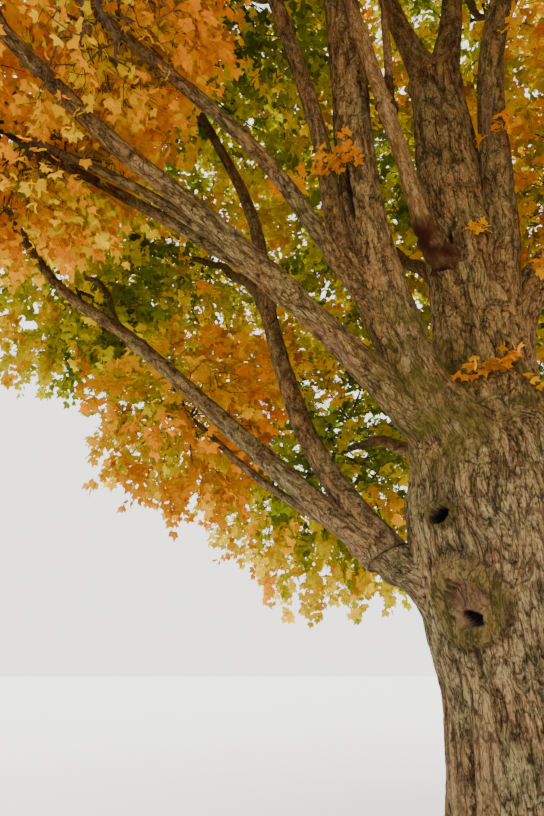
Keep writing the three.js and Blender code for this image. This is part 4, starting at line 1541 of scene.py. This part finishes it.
@dataclass(frozen=True)
class DeadWoodFinish:
    """Weathered wood without bark: tan, streaked grey along the grain, and dark where it rots.

    levels are the heights of the crack, tan and grey colours, and fine is the grain's values, as
    GrainGroup takes them.
    """

    tan: tuple[float, float, float] = (0.12, 0.06, 0.016)
    grey: tuple[float, float, float] = (0.26, 0.165, 0.07)
    crack: tuple[float, float, float] = (0.012, 0.006, 0.003)
    rot: tuple[float, float, float] = (0.03, 0.007, 0.002)
    levels: tuple[float, float, float] = (0.2, 0.45, 0.6)
    fine: tuple[float, float, float] = (18.0, 0.6, 0.004)

    def material(self, grain: GrainGroup) -> bpy.types.Material:
        """Builds the material.

        Args:
            grain: the group that draws the cracks and fibres.

        Returns:
            The material.
        """
        shader = Shader("dead_wood")
        fine = grain.use(shader, self.fine)
        height = shader.sum_of((fine.outputs["Fibres"], 1.0), (fine.outputs["Cracks"], -0.14))
        colour = shader.ramp(height, tuple(zip(self.levels, (self.crack, self.tan, self.grey))))
        colour = shader.mix(shader.mask("rot"), colour, (*self.rot, 1))
        surface = shader.node("ShaderNodeBsdfPrincipled", {
            "Base Color": colour, "Roughness": 0.8, "Specular IOR Level": 0.06,
            "Normal": fine.outputs["Normal"],
        })
        return shader.finish(surface.outputs[0])


@dataclass(frozen=True)
class TwigFinish:
    """Thin grey-brown bark of the twigs, mottled from dark to pale between two levels."""

    dark: tuple[float, float, float] = (0.035, 0.02, 0.01)
    pale: tuple[float, float, float] = (0.12, 0.075, 0.035)
    levels: tuple[float, float] = (0.35, 0.7)

    def material(self) -> bpy.types.Material:
        """Builds the material."""
        shader = Shader("twig_bark")
        place = shader.node("ShaderNodeTexCoord").outputs["Object"]
        mottle = shader.node("ShaderNodeTexNoise", {"Vector": place, "Scale": 26.0, "Detail": 4.0})
        colour = shader.ramp(mottle.outputs["Fac"], tuple(zip(self.levels, (self.dark, self.pale))))
        surface = shader.node("ShaderNodeBsdfPrincipled", {
            "Base Color": colour, "Roughness": 0.85, "Specular IOR Level": 0.1,
        })
        return shader.finish(surface.outputs[0])


@dataclass(frozen=True)
class LeafFinish:
    """A leaf of one plain colour, which the painted shade darkens for the sprays that take it. through is
    the share of the light that shines through it.
    """

    tint: Tint
    shade: Shade
    through: float = 0.68
    rough_low: float = 0.6
    rough_high: float = 0.85

    @property
    def name(self) -> str:
        """Returns the name of the leaves that wear it."""
        return f"leaves_{self.shade.name.lower()}_{self.tint.name}"

    def material(self) -> bpy.types.Material:
        """Builds the material."""
        shader = Shader(self.name)
        place = shader.node("ShaderNodeTexCoord").outputs["Object"]
        uneven = shader.node("ShaderNodeTexNoise", {"Vector": place, "Scale": 9.0, "Detail": 2.0})
        rough = shader.node("ShaderNodeMapRange", {
            "Value": uneven.outputs["Fac"], "To Min": self.rough_low, "To Max": self.rough_high,
        })
        # painted shade: the shade darkens the tint for the sprays that take it
        colour = (*(self.shade.value * part for part in self.tint.rgb), 1)
        face = shader.node("ShaderNodeBsdfPrincipled", {
            "Base Color": colour, "Roughness": rough.outputs["Result"], "Specular IOR Level": 0.05,
        })
        glow = shader.node("ShaderNodeBsdfTranslucent", {"Color": colour})
        both = shader.node("ShaderNodeMixShader", {
            "Fac": self.through, 1: face.outputs[0], 2: glow.outputs[0],
        })
        return shader.finish(both.outputs[0])


@dataclass(frozen=True)
class Furrows:
    """One pattern of furrows, drawn where a noise passes its middle.

    size is how many times smaller it is than the ridges of the part, start where in the noise it
    starts, seed the noise's pattern, and edge how wide a furrow's slopes are.
    """

    size: tuple[float, float, float]
    start: float
    seed: int
    edge: float

    def rise(self, across: np.ndarray) -> np.ndarray:
        """Returns the height at points, from 0 in the furrows to 1."""
        middle = 2 * noise(across * self.size + self.start, self.seed) - 1
        return smoothstep(0.0, self.edge, np.abs(middle))


# The bark's plates, the finer splits along them and the breaks across, and how the furrows sway
PLATES = Furrows((1, 1, 1), 0, 4, 0.4)
SPLITS = Furrows((2.3, 2.3, 2.9), 5, 5, 0.6)
BREAKS = Furrows((0.8, 0.8, 3.2), 9, 6, 0.25)
SWAY_SLOW = (0.3, 0.3, 0.8)
SWAY_WIDTH = (1.6, 1.6, 0.8)


class WoodSkin:
    """The fine surface of the trunk and the limbs, each faired into the others and furrowed."""

    def __init__(self, wood: Wood) -> None:
        """Keeps the wood that the skins are made for."""
        self._parts = [wood.trunk, *wood.limbs.values()]

    def build(self, part: Trunk | Limb) -> bpy.types.Object:
        """Builds the skin of one length of wood.

        Args:
            part: the trunk or the limb.

        Returns:
            The piece, with the grain, relief, scar, moss, and rot with painted shade, at each point.
        """
        grid = part.grid()
        grid.radii = grid.radii * (1 + self._lumps(part, grid))
        points = grid.points()
        points = points + normals_of(points) * self._fairing(part, points)[..., None]
        normals = normals_of(points)
        grain = self._grain(part, grid)
        straight = STRAIGHT_FOOT * smoothstep(*FOOT, grid.run[:, None]) if part.name == "trunk" else 0.0
        relief, drawn = self._furrows(part, grain, straight)
        marks = Marks(part, grid, points)
        rise = (relief - MIDDLE_RELIEF) * part.relief * (1 - marks.smooth) + marks.rise
        points = points + normals * rise[..., None]
        points[..., 2] = np.maximum(points[..., 2], 0)
        if part.name == "trunk":
            points[0, :, 2] = 0
        ends = np.array([points[0].mean(axis=0), points[-1].mean(axis=0)])
        batch = Batch(np.vstack([points.reshape(-1, 3), ends]), grid.faces())
        piece = make_piece("skin_" + part.name, batch, smooth=True)
        bare = np.zeros(2)
        add_mask(piece, "relief", np.append(relief.ravel(), bare))
        add_mask(piece, "scar", np.append(marks.scar.ravel(), bare))
        add_mask(piece, "moss", np.append(marks.moss.ravel(), bare))
        # rot, with the painted shade of the knots' holes and creases
        add_mask(piece, "rot", np.append(marks.rot.ravel(), bare + 1))
        field = piece.data.attributes.new("grain", "FLOAT_VECTOR", "POINT")
        places = np.vstack([drawn.reshape(-1, 3), np.zeros((2, 3))])
        field.data.foreach_set("vector", places.astype(np.float32).ravel())
        return piece

    def _lumps(self, part: Trunk | Limb, grid: Grid) -> np.ndarray:
        """Works out the slow swellings.

        Args:
            part: the trunk or the limb.
            grid: its rings.

        Returns:
            The swelling at each point, as a share of the radius.
        """
        size = LUMP_LENGTH * grid.radii.mean()
        turned = np.stack(np.broadcast_arrays(
            np.cos(grid.angles)[None] * LUMPS_ROUND,
            np.sin(grid.angles)[None] * LUMPS_ROUND,
            grid.run[:, None] / size,
        ), axis=-1)
        lumps = 2 * LUMPS * (noise(turned.reshape(-1, 3) + LUMPS_OFF, len(part.name)) - 0.5)
        if part.name == "trunk":
            knobs = noise(turned.reshape(-1, 3) * KNOB_SIZE, 31) - 0.5
            height = np.broadcast_to(grid.run[:, None], grid.radii.shape).ravel()
            start, end = KNOBBY
            lumps += 2 * KNOBS * knobs * smoothstep(*start, height) * (1 - smoothstep(*end, height))
        return lumps.reshape(grid.radii.shape)

    def _fairing(self, part: Trunk | Limb, points: np.ndarray) -> np.ndarray:
        """Rounds the creases where other wood joins.

        Args:
            part: the trunk or the limb.
            points: its points.

        Returns:
            How far each moves out.
        """
        flat = points.reshape(-1, 3)
        out = np.zeros(len(flat))
        for other in self._parts:
            if other is part:
                continue
            reach = FAIRING * min(part.stout, other.stout)
            low, high = other.reach()
            near = np.where(((flat > low - reach) & (flat < high + reach)).all(axis=1))[0]
            if not len(near):
                continue
            share = np.clip(1 - np.abs(other.gap(flat[near])) / reach, 0, 1)
            if other.parent is part or part.parent is other:
                fork = (other if other.parent is part else part).fork
                apart = np.linalg.norm(flat[near] - fork, axis=1)
                share = share * (1 - smoothstep(FORK_REACH[0] * reach, FORK_REACH[1] * reach, apart))
            else:
                share = share * PASSING
            out[near] = np.maximum(out[near], reach / FAIRING_FLAT * share**2)
        return out.reshape(points.shape[:2])

    def _grain(self, part: Trunk | Limb, grid: Grid) -> np.ndarray:
        """Works out where points lie in the grain, which twists a little.

        Args:
            part: the trunk or the limb.
            grid: its rings.

        Returns:
            The places, round the wood and along it, in metres.
        """
        angles = grid.angles[None] + GRAIN_TWIST * grid.run[:, None]
        radii = grid.radii
        along = np.broadcast_to(grid.run[:, None], radii.shape)
        grain = np.stack([np.cos(angles) * radii, np.sin(angles) * radii, along], axis=-1)
        return grain + GRAIN_APART * SeededRandom(part.name).next()

    def _furrows(
        self, part: Trunk | Limb, grain: np.ndarray, straight: np.ndarray | float,
    ) -> tuple[np.ndarray, np.ndarray]:
        """Works out the furrows.

        Args:
            part: the trunk or the limb.
            grain: where its points lie in the grain.
            straight: how much straighter than elsewhere they run.

        Returns:
            The height of the bark, from 0 in the furrows to 1, and the grain to draw by.
        """
        shape = grain.shape[:2]
        across = grain.reshape(-1, 3) / part.ridges
        across[:, 2] /= RIDGE_LENGTH
        slow = across * SWAY_SLOW
        sway = np.stack([noise(slow, 1), noise(slow, 2), noise(slow, 3)], axis=1) - 0.5
        wander = np.broadcast_to(1.0 - straight, shape).reshape(-1, 1)
        across += sway * SWAY_WIDTH * wander
        relief = PLATES.rise(across) * (0.55 + 0.3 * SPLITS.rise(across) + 0.15 * BREAKS.rise(across))
        drawn = (across * TRUNK_RIDGES).reshape(*shape, 3)
        drawn[..., 2] *= RIDGE_LENGTH * GRAIN_STRETCH
        return relief.reshape(shape), drawn


def turned_from(grid: Grid, angle: float) -> np.ndarray:
    """Returns how far a grid's sides lie round from an angle, from minus pi to pi."""
    return (grid.angles[None] - angle + np.pi) % (2 * np.pi) - np.pi


class Marks:
    """What life has left on a length of wood: knots, a seam, moss, rot and torn ends, and the painted
    shade in the knots' holes and in the creases round their calluses.
    """

    def __init__(self, part: Trunk | Limb, grid: Grid, points: np.ndarray) -> None:
        """Works the marks out.

        Args:
            part: the trunk or the limb.
            grid: its rings.
            points: its points, before furrows.
        """
        shape = grid.radii.shape
        self.rise = np.zeros(shape)
        self.smooth = np.zeros(shape)
        self.scar = np.zeros(shape)
        # rot, and the painted shade of the knots' holes and creases
        self.rot = np.zeros(shape)
        self.moss = self._moss(points)
        if part.name == "trunk":
            for knot in KNOTS:
                self._knot(knot, grid)
            self._seam(grid)
        for wound in WOUNDS:
            if wound.part == part.name:
                self._wound(wound, part, grid)
        if part.kind is WoodKind.BARE:
            self._torn_end(grid, points)
            self._rotten_foot(part, points)

    def _moss(self, points: np.ndarray) -> np.ndarray:
        """Finds where moss grows: in the forks, in patches.

        Args:
            points: the part's points.

        Returns:
            How thick it grows at each, from 0 to 1.
        """
        moss = np.zeros(points.shape[:2])
        flat = points.reshape(-1, 3)
        patches = smoothstep(*MOSS_FROM, noise(flat / MOSS_PATCH, 8)).reshape(moss.shape)
        for place, size in MOSSY:
            apart = np.linalg.norm(points - np.array(place), axis=-1)
            moss = np.maximum(moss, smoothstep(size, 0.4 * size, apart) * patches)
        return moss

    def _knot(self, knot: Knot, grid: Grid) -> None:
        """Adds a callus ring with the bare wood and the hole inside it, and painted shade in the hole and
        in the crease round the callus.

        Args:
            knot: the knot's sizes.
            grid: the trunk's rings.
        """
        turn = turned_from(grid, math.radians(knot.heading))
        aside = np.where(np.abs(turn) < KNOT_REACH[0], turn * grid.radii, KNOT_REACH[1])
        above = np.broadcast_to(grid.run[:, None] - knot.height, aside.shape)
        away = np.hypot(aside, above / knot.tall)
        around = np.arctan2(above, aside)
        uneven = RING_WAVES[0] * np.sin(3 * around + RING_TURN)
        ring = knot.ring * (1 + uneven + RING_WAVES[1] * np.sin(5 * around))
        out = (away - ring) / knot.thick
        cleft = np.exp(-(((around - np.pi / 2) / CLEFT[1]) ** 2))
        callus = np.sqrt(np.clip(1 - out**2, 0, 1)) * (1 - CLEFT[0] * cleft)
        inside = 1 - smoothstep(*INSIDE, out)
        lean = math.radians(knot.tilt)
        x, y = aside - knot.hole[0], above - knot.hole[1]
        x, y = x * math.cos(lean) + y * math.sin(lean), y * math.cos(lean) - x * math.sin(lean)
        within = np.hypot(x / knot.hole_size[0], y / knot.hole_size[1])
        hole = 1 - smoothstep(*HOLE_EDGE, within)
        folds = np.sin(2 * np.pi * away / WRINKLE[1] + 2 * np.sin(4 * around))
        brow = 1 + BROW * np.sin(around)
        lobes = inside * np.exp(-((aside / LOBES[1]) ** 2)) * smoothstep(*LOBES_FROM, above)
        self.rise += knot.rise * (callus * brow + LOBES[0] * lobes) + WRINKLE[0] * callus * folds
        self.rise -= knot.sunk * inside + knot.hole_depth * hole
        self.smooth = np.maximum(self.smooth, np.maximum(CALLUS_SMOOTH * callus, inside))
        worn = np.where(aside > 0, 1, KNOT_LEFT[0])
        self.scar = np.maximum(self.scar, KNOT_BARE * inside * (1 - lobes) * worn)
        self.rot = np.maximum(self.rot, KNOT_LEFT[1] * inside * (aside < 0))
        # painted shade: the hole is painted dark through the rot mask
        self.rot = np.maximum(self.rot, 1 - smoothstep(*HOLE_SHADE, within))
        self.moss = np.maximum(self.moss, CALLUS_MOSS * callus)
        # painted shade in the crease just outside the callus, through the rot mask
        dark, middle, width = CALLUS_CREASE_SHADE
        self.rot = np.maximum(self.rot, dark * np.exp(-(((out - middle) / width) ** 2)))

    def _seam(self, grid: Grid) -> None:
        """Adds the old seam that runs up the foot of the trunk, and the bare strip beside it.

        Args:
            grid: the trunk's rings.
        """
        aside = turned_from(grid, math.radians(SEAM.heading)) * grid.radii
        low = 1 - smoothstep(SEAM.top - SEAM.fade, SEAM.top, grid.run[:, None])
        self.rise -= SEAM.deep * np.exp(-((aside / SEAM.wide) ** 2)) * low
        outer = 1 - smoothstep(SEAM.strip, SEAM.strip + SEAM.edge[1], aside)
        strip = smoothstep(0.0, SEAM.edge[0], aside) * outer
        self.scar = np.maximum(self.scar, SEAM.bare * strip * low)
        # the groove's middle is darkened
        groove = np.exp(-((aside / (0.5 * SEAM.wide)) ** 2))
        self.rot = np.maximum(self.rot, SEAM.rotten * groove * low)

    def _wound(self, wound: Wound, part: Trunk | Limb, grid: Grid) -> None:
        """Adds a worn or rotten patch.

        Args:
            wound: the patch's sizes.
            part: the trunk or the limb.
            grid: its rings.
        """
        middle, angle = part.place(wound.at, direction(*wound.facing))
        aside = turned_from(grid, angle) * grid.radii / wound.size[0]
        along = (grid.run[:, None] - middle) / wound.size[1]
        flat = grid.points().reshape(-1, 3)
        ragged = 0.5 * noise(flat / WOUND_PATCH, 14).reshape(aside.shape)
        patch = 1 - smoothstep(*WOUND_EDGE, np.hypot(aside, along) + ragged - 0.25)
        self.rise -= wound.deep * patch
        self.smooth = np.maximum(self.smooth, WOUND_SMOOTH * patch)
        self.scar = np.maximum(self.scar, wound.bare * patch)
        self.rot = np.maximum(self.rot, wound.rotten * patch)

    def _rotten_foot(self, part: Limb, points: np.ndarray) -> None:
        """Adds crumbling rot to a dead limb's foot, where it leaves the trunk.

        Args:
            part: the limb.
            points: its points.
        """
        apart = np.linalg.norm(points - part.fork, axis=-1)
        foot = 1 - smoothstep(*ROTTEN_FOOT, apart)
        size, depth, swollen = CRUMBS
        crumbs = noise(points.reshape(-1, 3) / size, 12).reshape(foot.shape)
        self.rise += foot * (depth * (crumbs - 0.5) + swollen)
        self.rot = np.maximum(self.rot, foot * (0.7 + 0.3 * smoothstep(0.65, 0.35, crumbs)))

    def _torn_end(self, grid: Grid, points: np.ndarray) -> None:
        """Adds rot and splinters to a dead limb's end.

        Args:
            grid: the limb's rings.
            points: its points.
        """
        left = grid.run[-1] - grid.run[:, None]
        ragged = noise(points.reshape(-1, 3) / SPLINTER, 11).reshape(grid.radii.shape)
        torn = smoothstep(TORN, 0.0, left) * ragged
        self.rise -= torn * 0.8 * grid.radii
        self.rot = np.maximum(self.rot, torn)


def add_mask(piece: bpy.types.Object, name: str, values: np.ndarray) -> None:
    """Gives a piece a named value from 0 to 1 at each point."""
    field = piece.data.attributes.new(name, "FLOAT", "POINT")
    field.data.foreach_set("value", np.clip(values, 0, 1).astype(np.float32))


@dataclass
class Shoots:
    """This year's shoots: where each starts, its direction and length, and its leaves' colour.

    tone is how far the leaves have turned, from 0 to 1, and deep says whether they take painted shade, a
    darker copy of their tint.
    """

    at: np.ndarray
    ahead: np.ndarray
    length: np.ndarray
    tone: np.ndarray
    deep: np.ndarray


class Crown:
    """All the foliage: the masses' twigs and shoots, and the leaves on them."""

    def __init__(self, wood: Wood) -> None:
        """Places every mass.

        Args:
            wood: the trunk and the limbs.
        """
        self._wood = wood
        self._view = View(wood)
        self._masses = [Mass(limb) for limb in wood.limbs.values() if limb.spec.crown]
        self._twigs: list[Batch] = []
        self._shoots: list[Batch] = []
        # each tint in a plain copy and a darker copy that is painted shade
        self._leaves: dict[LeafFinish, list[np.ndarray]] = {
            LeafFinish(tint, shade): [] for tint in TINTS for shade in Shade
        }
        self.nodes = [mass.node for mass in self._masses]

    def grow(self) -> None:
        """Grows every mass."""
        for mass in self._masses:
            twigs = mass.grow(self._masses, self._wood)
            self._add_twigs(mass, twigs)
            balls = self._wood.near(mass.centre, mass.radius + NEARBY)
            self._add_leaves(self._shoots_of(mass, twigs), mass.centre, mass.limb.spec.leaf, balls)
        for number, sprout in enumerate(SPROUTS):
            self._sprout(number, sprout)

    def _add_twigs(self, mass: Mass, twigs: Twigs) -> None:
        """Adds a mass's twigs as tubes, each running on in its heaviest child.

        Args:
            mass: the mass.
            twigs: its twigs.
        """
        load = twigs.loads()
        thick = np.minimum(TWIG_TIP * load**0.5, mass.limb.spec.girth[1] * STEM_GIRTH)
        ahead = np.zeros_like(twigs.at)
        ahead[0] = mass.ahead
        ahead[1:] = unit(twigs.at[1:] - twigs.at[twigs.source[1:]])
        heir = np.full(len(load), -1)
        for i in np.argsort(load[1:]) + 1:
            heir[twigs.source[i]] = i
        bend = ahead.copy()
        runs_on = heir > 0
        bend[runs_on] = unit(ahead[runs_on] + ahead[heir[runs_on]])
        child = np.arange(1, len(load))
        source = twigs.source[1:]
        is_heir = heir[source] == child
        side_start = np.minimum(thick[child] * TWIG_COLLAR, thick[source])
        start = np.where(is_heir, thick[source], side_start)
        low = np.where(is_heir[:, None], bend[source], ahead[child])
        stout = thick[child] >= STOUT_TWIG
        for sides, chosen in zip(TWIG_SIDES, (~stout, stout)):
            self._twigs.append(tubes(
                twigs.at[source][chosen], twigs.at[child][chosen],
                start[chosen], thick[child][chosen], sides, low[chosen], bend[child][chosen],
            ))

    def _shoots_of(self, mass: Mass, twigs: Twigs) -> Shoots:
        """Works out the shoots at the ends of a mass's fine twigs.

        Args:
            mass: the mass.
            twigs: its twigs.

        Returns:
            The shoots.
        """
        rng = np.random.default_rng(sum(map(ord, mass.limb.name)) + 1)
        at = twigs.at[twigs.ends]
        run = unit(at - twigs.at[twigs.source[twigs.ends]])
        out = unit(at - mass.centre)
        on, away, loose = SHOOT_WEIGHTS
        ahead = unit(on * run + away * out + loose * rng.normal(size=at.shape) + SHOOT_DROOP)
        depth = mass.depth(at, self._masses)
        fringe = 1 - np.clip(depth / (FRINGE * mass.radius), 0, 1)
        patch = noise(at / TONE_PATCH, 21) - 0.5
        rise = (at[:, 2] - mass.centre[2]) / mass.radius
        by_fringe, by_patch, by_rise = TONE_WEIGHTS
        tone = mass.limb.spec.tone + by_fringe * (fringe - USUAL_FRINGE)
        tone = tone + by_patch * patch - by_rise * rise
        tone += rng.normal(size=len(at)) * TONE_SPREAD
        shortest, more = SHOOT_LENGTHS
        length = SHOOT_LENGTH * mass.limb.spec.leaf**0.5 * (shortest + more * rng.random(len(at)))
        # Painted shade: a share of the sprays, most of all in the crown's outer shell, take the darker
        # copy of their tint
        shell = smoothstep(*SHELL, np.linalg.norm((at - CROWN_MIDDLE) / CROWN_REACH, axis=1))
        deep = rng.random(len(at)) < PAINTED_SHADE_SHARE[0] + PAINTED_SHADE_SHARE[1] * shell
        return Shoots(at, ahead, length, np.clip(tone, 0, FULLY_TURNED), deep)

    def _sprout(self, number: int, sprout: Sprout) -> None:
        """Adds the leafy shoots of one sprout, which start just inside the wood.

        Args:
            number: which sprout it is.
            sprout: its sizes.
        """
        rng = np.random.default_rng(number)
        part = self._wood.part(sprout.part)
        middle, radius = part.seat(sprout.at)
        out = direction(*sprout.facing)
        ahead = unit(out + rng.normal(size=(sprout.shoots, 3)) * SPROUT_SPREAD + SPROUT_LIFT)
        inside, outside, scatter = SPROUT_ROOT
        at = middle + inside * radius * unit(out + scatter * rng.normal(size=(sprout.shoots, 3)))
        shortest, more = SPROUT_LENGTHS
        length = (sprout.length + outside * radius) * (shortest + more * rng.random(sprout.shoots))
        tone = np.clip(sprout.tone + SPROUT_TONE * rng.normal(size=sprout.shoots), 0, FULLY_TURNED)
        # painted shade for a share of the sprout's shoots
        deep = rng.random(sprout.shoots) < PAINTED_SHADE_SHARE[0]
        shoots = Shoots(at, ahead, length, tone, deep)
        no_balls = np.zeros((0, 3)), np.zeros(0)
        self._add_leaves(shoots, middle, SPROUT_LEAF, no_balls, open_view=False)

    def _add_leaves(
        self, shoots: Shoots, centre: np.ndarray, leaf: float, balls: tuple[np.ndarray, np.ndarray],
        open_view: bool = True,
    ) -> None:
        """Adds shoots, and leaves in pairs along each, leaving out what would meet the wood.

        Args:
            shoots: the shoots.
            centre: the leaves face away from this point.
            leaf: their size as a share of the typical one.
            balls: the wood nearby, as middles and radii.
            open_view: whether leaves that would hide a limb are left out.
        """
        rng = np.random.default_rng(len(shoots.at) + int(1000 * abs(centre[0])))
        count, each = len(shoots.at), LEAVES_PER_SHOOT
        number = np.arange(each)
        pair = number // 2
        share = (pair + 1) / math.ceil(each / 2)
        side = unit(np.cross(shoots.ahead, NEARLY_UP))
        up = np.cross(side, shoots.ahead)
        turn = (pair % 2) * np.pi / 2 + (number % 2) * np.pi
        turn = turn[None] + rng.normal(size=(count, each)) * LEAF_TURN
        cross = np.cos(turn)[..., None] * side[:, None]
        cross = cross + LEAF_FLAT * np.sin(turn)[..., None] * up[:, None]
        root = shoots.at[:, None] + shoots.ahead[:, None] * (shoots.length[:, None] * share)[..., None]
        root[..., 2] -= SHOOT_SAG * share**2
        loose = rng.normal(size=(count, each, 3))
        lean = np.where(pair == pair[-1], LAST_PAIR, 1.0)[None, :, None]
        on, astray = LEAF_WEIGHTS
        along = unit(on * shoots.ahead[:, None] + lean * cross + astray * loose + LEAF_DROOP)
        tilt, away = FACE_WEIGHTS
        face = FACE_UP + tilt * rng.normal(size=(count, each, 3)) + away * unit(root - centre)
        face = unit(face - along * (face * along).sum(axis=-1, keepdims=True))
        across = np.cross(along, face)
        smallest, more = LEAF_SIZES
        size = LEAF_LENGTH * leaf * (smallest + more * rng.random((count, each, 1, 1)))
        shape = LEAF_POINTS[:, 0, None] * across[..., None, :]
        shape = shape + LEAF_POINTS[:, 1, None] * along[..., None, :]
        shape = shape + LEAF_POINTS[:, 2, None] * face[..., None, :]
        leaves = (root[..., None, :] + shape * size).reshape(-1, len(LEAF_POINTS), 3)
        middles = leaves[:, :len(BLADE)].mean(axis=1)
        keep = clear_of(middles, balls, LEAF_REACH * LEAF_LENGTH)
        keep &= self._in_box(leaves)
        if open_view:
            keep &= self._view.opens(middles, rng.random(len(middles)))
        tints = np.repeat((shoots.tone * len(TINTS)).astype(int), each)
        # which shoots' leaves take the painted-shade copy of their tint
        deep = np.repeat(shoots.deep, each)
        for finish, some in self._leaves.items():
            chosen = (tints == TINTS.index(finish.tint)) & (deep == (finish.shade is Shade.DEEP))
            some.append(leaves[keep & chosen])
        kept = keep.reshape(count, each).any(axis=1)
        tips = root[:, -1][kept]
        self._shoots.append(spikes(shoots.at[kept], tips, TWIG_TIP))

    def _in_box(self, leaves: np.ndarray) -> np.ndarray:
        """Returns which leaves lie in the part's own box."""
        low, high = (np.array(corner) for corner in CAD_BOX)
        return ((leaves > low) & (leaves < high)).all(axis=(1, 2))

    def pieces(self) -> list[tuple[bpy.types.Object, bpy.types.Material, str]]:
        """Makes the pieces.

        Returns:
            Each piece with its material and its slot in the record.
        """
        bark = TwigFinish().material()
        made = [(make_piece("twigs", Batch.joined(self._twigs), smooth=True), bark, "bark")]
        made.append((make_piece("shoots", Batch.joined(self._shoots)), bark, "bark"))
        for finish, batches in self._leaves.items():
            leaves = np.concatenate(batches)
            material = finish.material()
            parts = max(1, math.ceil(len(leaves) / PIECE_LEAVES))
            for part, some in enumerate(np.array_split(leaves, parts)):
                offsets = np.arange(len(some))[:, None, None] * len(LEAF_POINTS)
                faces = (LEAF_FACES[None] + offsets).reshape(-1, 3)
                piece = make_piece(f"{finish.name}_{part + 1}", Batch(some.reshape(-1, 3), faces))
                made.append((piece, material, finish.tint.slot))
        return made


@dataclass(frozen=True)
class Sun:
    """A far light: the heading and rise that it shines from, its power, and how wide it looks."""

    name: str
    heading: float
    rise: float
    power: float
    spread: float


@dataclass(frozen=True)
class Studio:
    """The floor, the light and the camera, which looks up by rise.

    floor_drop is how far below the tree the floor lies, and sky the strength of the light from all
    around.
    """

    rise: float = 22.5
    lens: float = 28.0
    film: float = 36.0
    floor_size: float = 400.0
    floor_drop: float = 0.003
    floor_tint: tuple[float, float, float] = (0.8, 0.8, 0.78)
    sky: float = 2.55
    sky_tint: tuple[float, float, float] = (1.0, 0.98, 0.94)
    suns: tuple[Sun, ...] = (Sun("sun", 104.0, 36.0, 6.4, 4.0), Sun("fill", 240.0, 35.0, 1.4, 40.0))

    def build(self) -> None:
        """Builds them all."""
        self._floor()
        self._light()
        self._camera()

    def _floor(self) -> None:
        """Lays the floor."""
        half, z = self.floor_size / 2, -self.floor_drop
        corners = np.array([(-half, -half, z), (half, -half, z), (half, half, z), (-half, half, z)])
        floor = make_piece("floor", Batch(corners, np.array([(0, 1, 2), (0, 2, 3)])))
        shader = Shader("floor")
        surface = shader.node("ShaderNodeBsdfPrincipled", {
            "Base Color": (*self.floor_tint, 1), "Roughness": 0.9,
        })
        floor.data.materials.append(shader.finish(surface.outputs[0]))

    def _light(self) -> None:
        """Sets the light from all around, and the suns."""
        world = bpy.data.worlds.new("studio")
        world.use_nodes = True
        background = world.node_tree.nodes["Background"]
        background.inputs["Color"].default_value = (*self.sky_tint, 1)
        background.inputs["Strength"].default_value = self.sky
        bpy.context.scene.world = world
        for sun in self.suns:
            light = bpy.data.lights.new(sun.name, "SUN")
            light.energy = sun.power
            light.angle = math.radians(sun.spread)
            lamp = bpy.data.objects.new(sun.name, light)
            lamp.rotation_euler = (math.radians(90 - sun.rise), 0, math.radians(sun.heading + 90))
            bpy.context.scene.collection.objects.link(lamp)

    def _camera(self) -> None:
        """Sets the camera at the photograph's standpoint."""
        data = bpy.data.cameras.new("camera")
        data.lens = self.lens
        data.sensor_width = self.film
        camera = bpy.data.objects.new("camera", data)
        camera.location = STANDPOINT
        camera.rotation_euler = (math.radians(90 + self.rise), 0, 0)
        bpy.context.scene.collection.objects.link(camera)
        bpy.context.scene.camera = camera


class Maple:
    """The whole tree: its wood and its crown."""

    def __init__(self) -> None:
        """Works out the wood."""
        self._wood = Wood()

    def build(self) -> None:
        """Builds the skins and the foliage, and reports each piece."""
        grain = GrainGroup()
        finishes = {
            WoodKind.BARK: BarkFinish().material(grain),
            WoodKind.BARE: DeadWoodFinish().material(grain),
        }
        skin = WoodSkin(self._wood)
        for part in (self._wood.trunk, *self._wood.limbs.values()):
            node = DEAD_LIMB.name if part.name == DEAD_FORK.name else part.name
            self._place(skin.build(part), finishes[part.kind], part.kind.value, node)
        crown = Crown(self._wood)
        crown.grow()
        for piece, material, slot in crown.pieces():
            self._place(piece, material, slot, *crown.nodes)

    def _place(
        self, piece: bpy.types.Object, material: bpy.types.Material, slot: str, *nodes: str,
    ) -> None:
        """Dresses a piece and sets it in the frame.

        Args:
            piece: the piece.
            material: its finish.
            slot: its slot in the record; not used.
            nodes: the nodes that it replaces.
        """
        piece.data.materials.append(material)
        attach(piece, BODY)
        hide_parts(*nodes)
        LOG.info("%s: %d faces", piece.name, len(piece.data.polygons))


def main() -> None:
    """Builds the tree and the studio."""
    Maple().build()
    Studio().build()


if __name__ == "__main__":
    logging.basicConfig(level=logging.INFO, format="%(message)s")
    main()
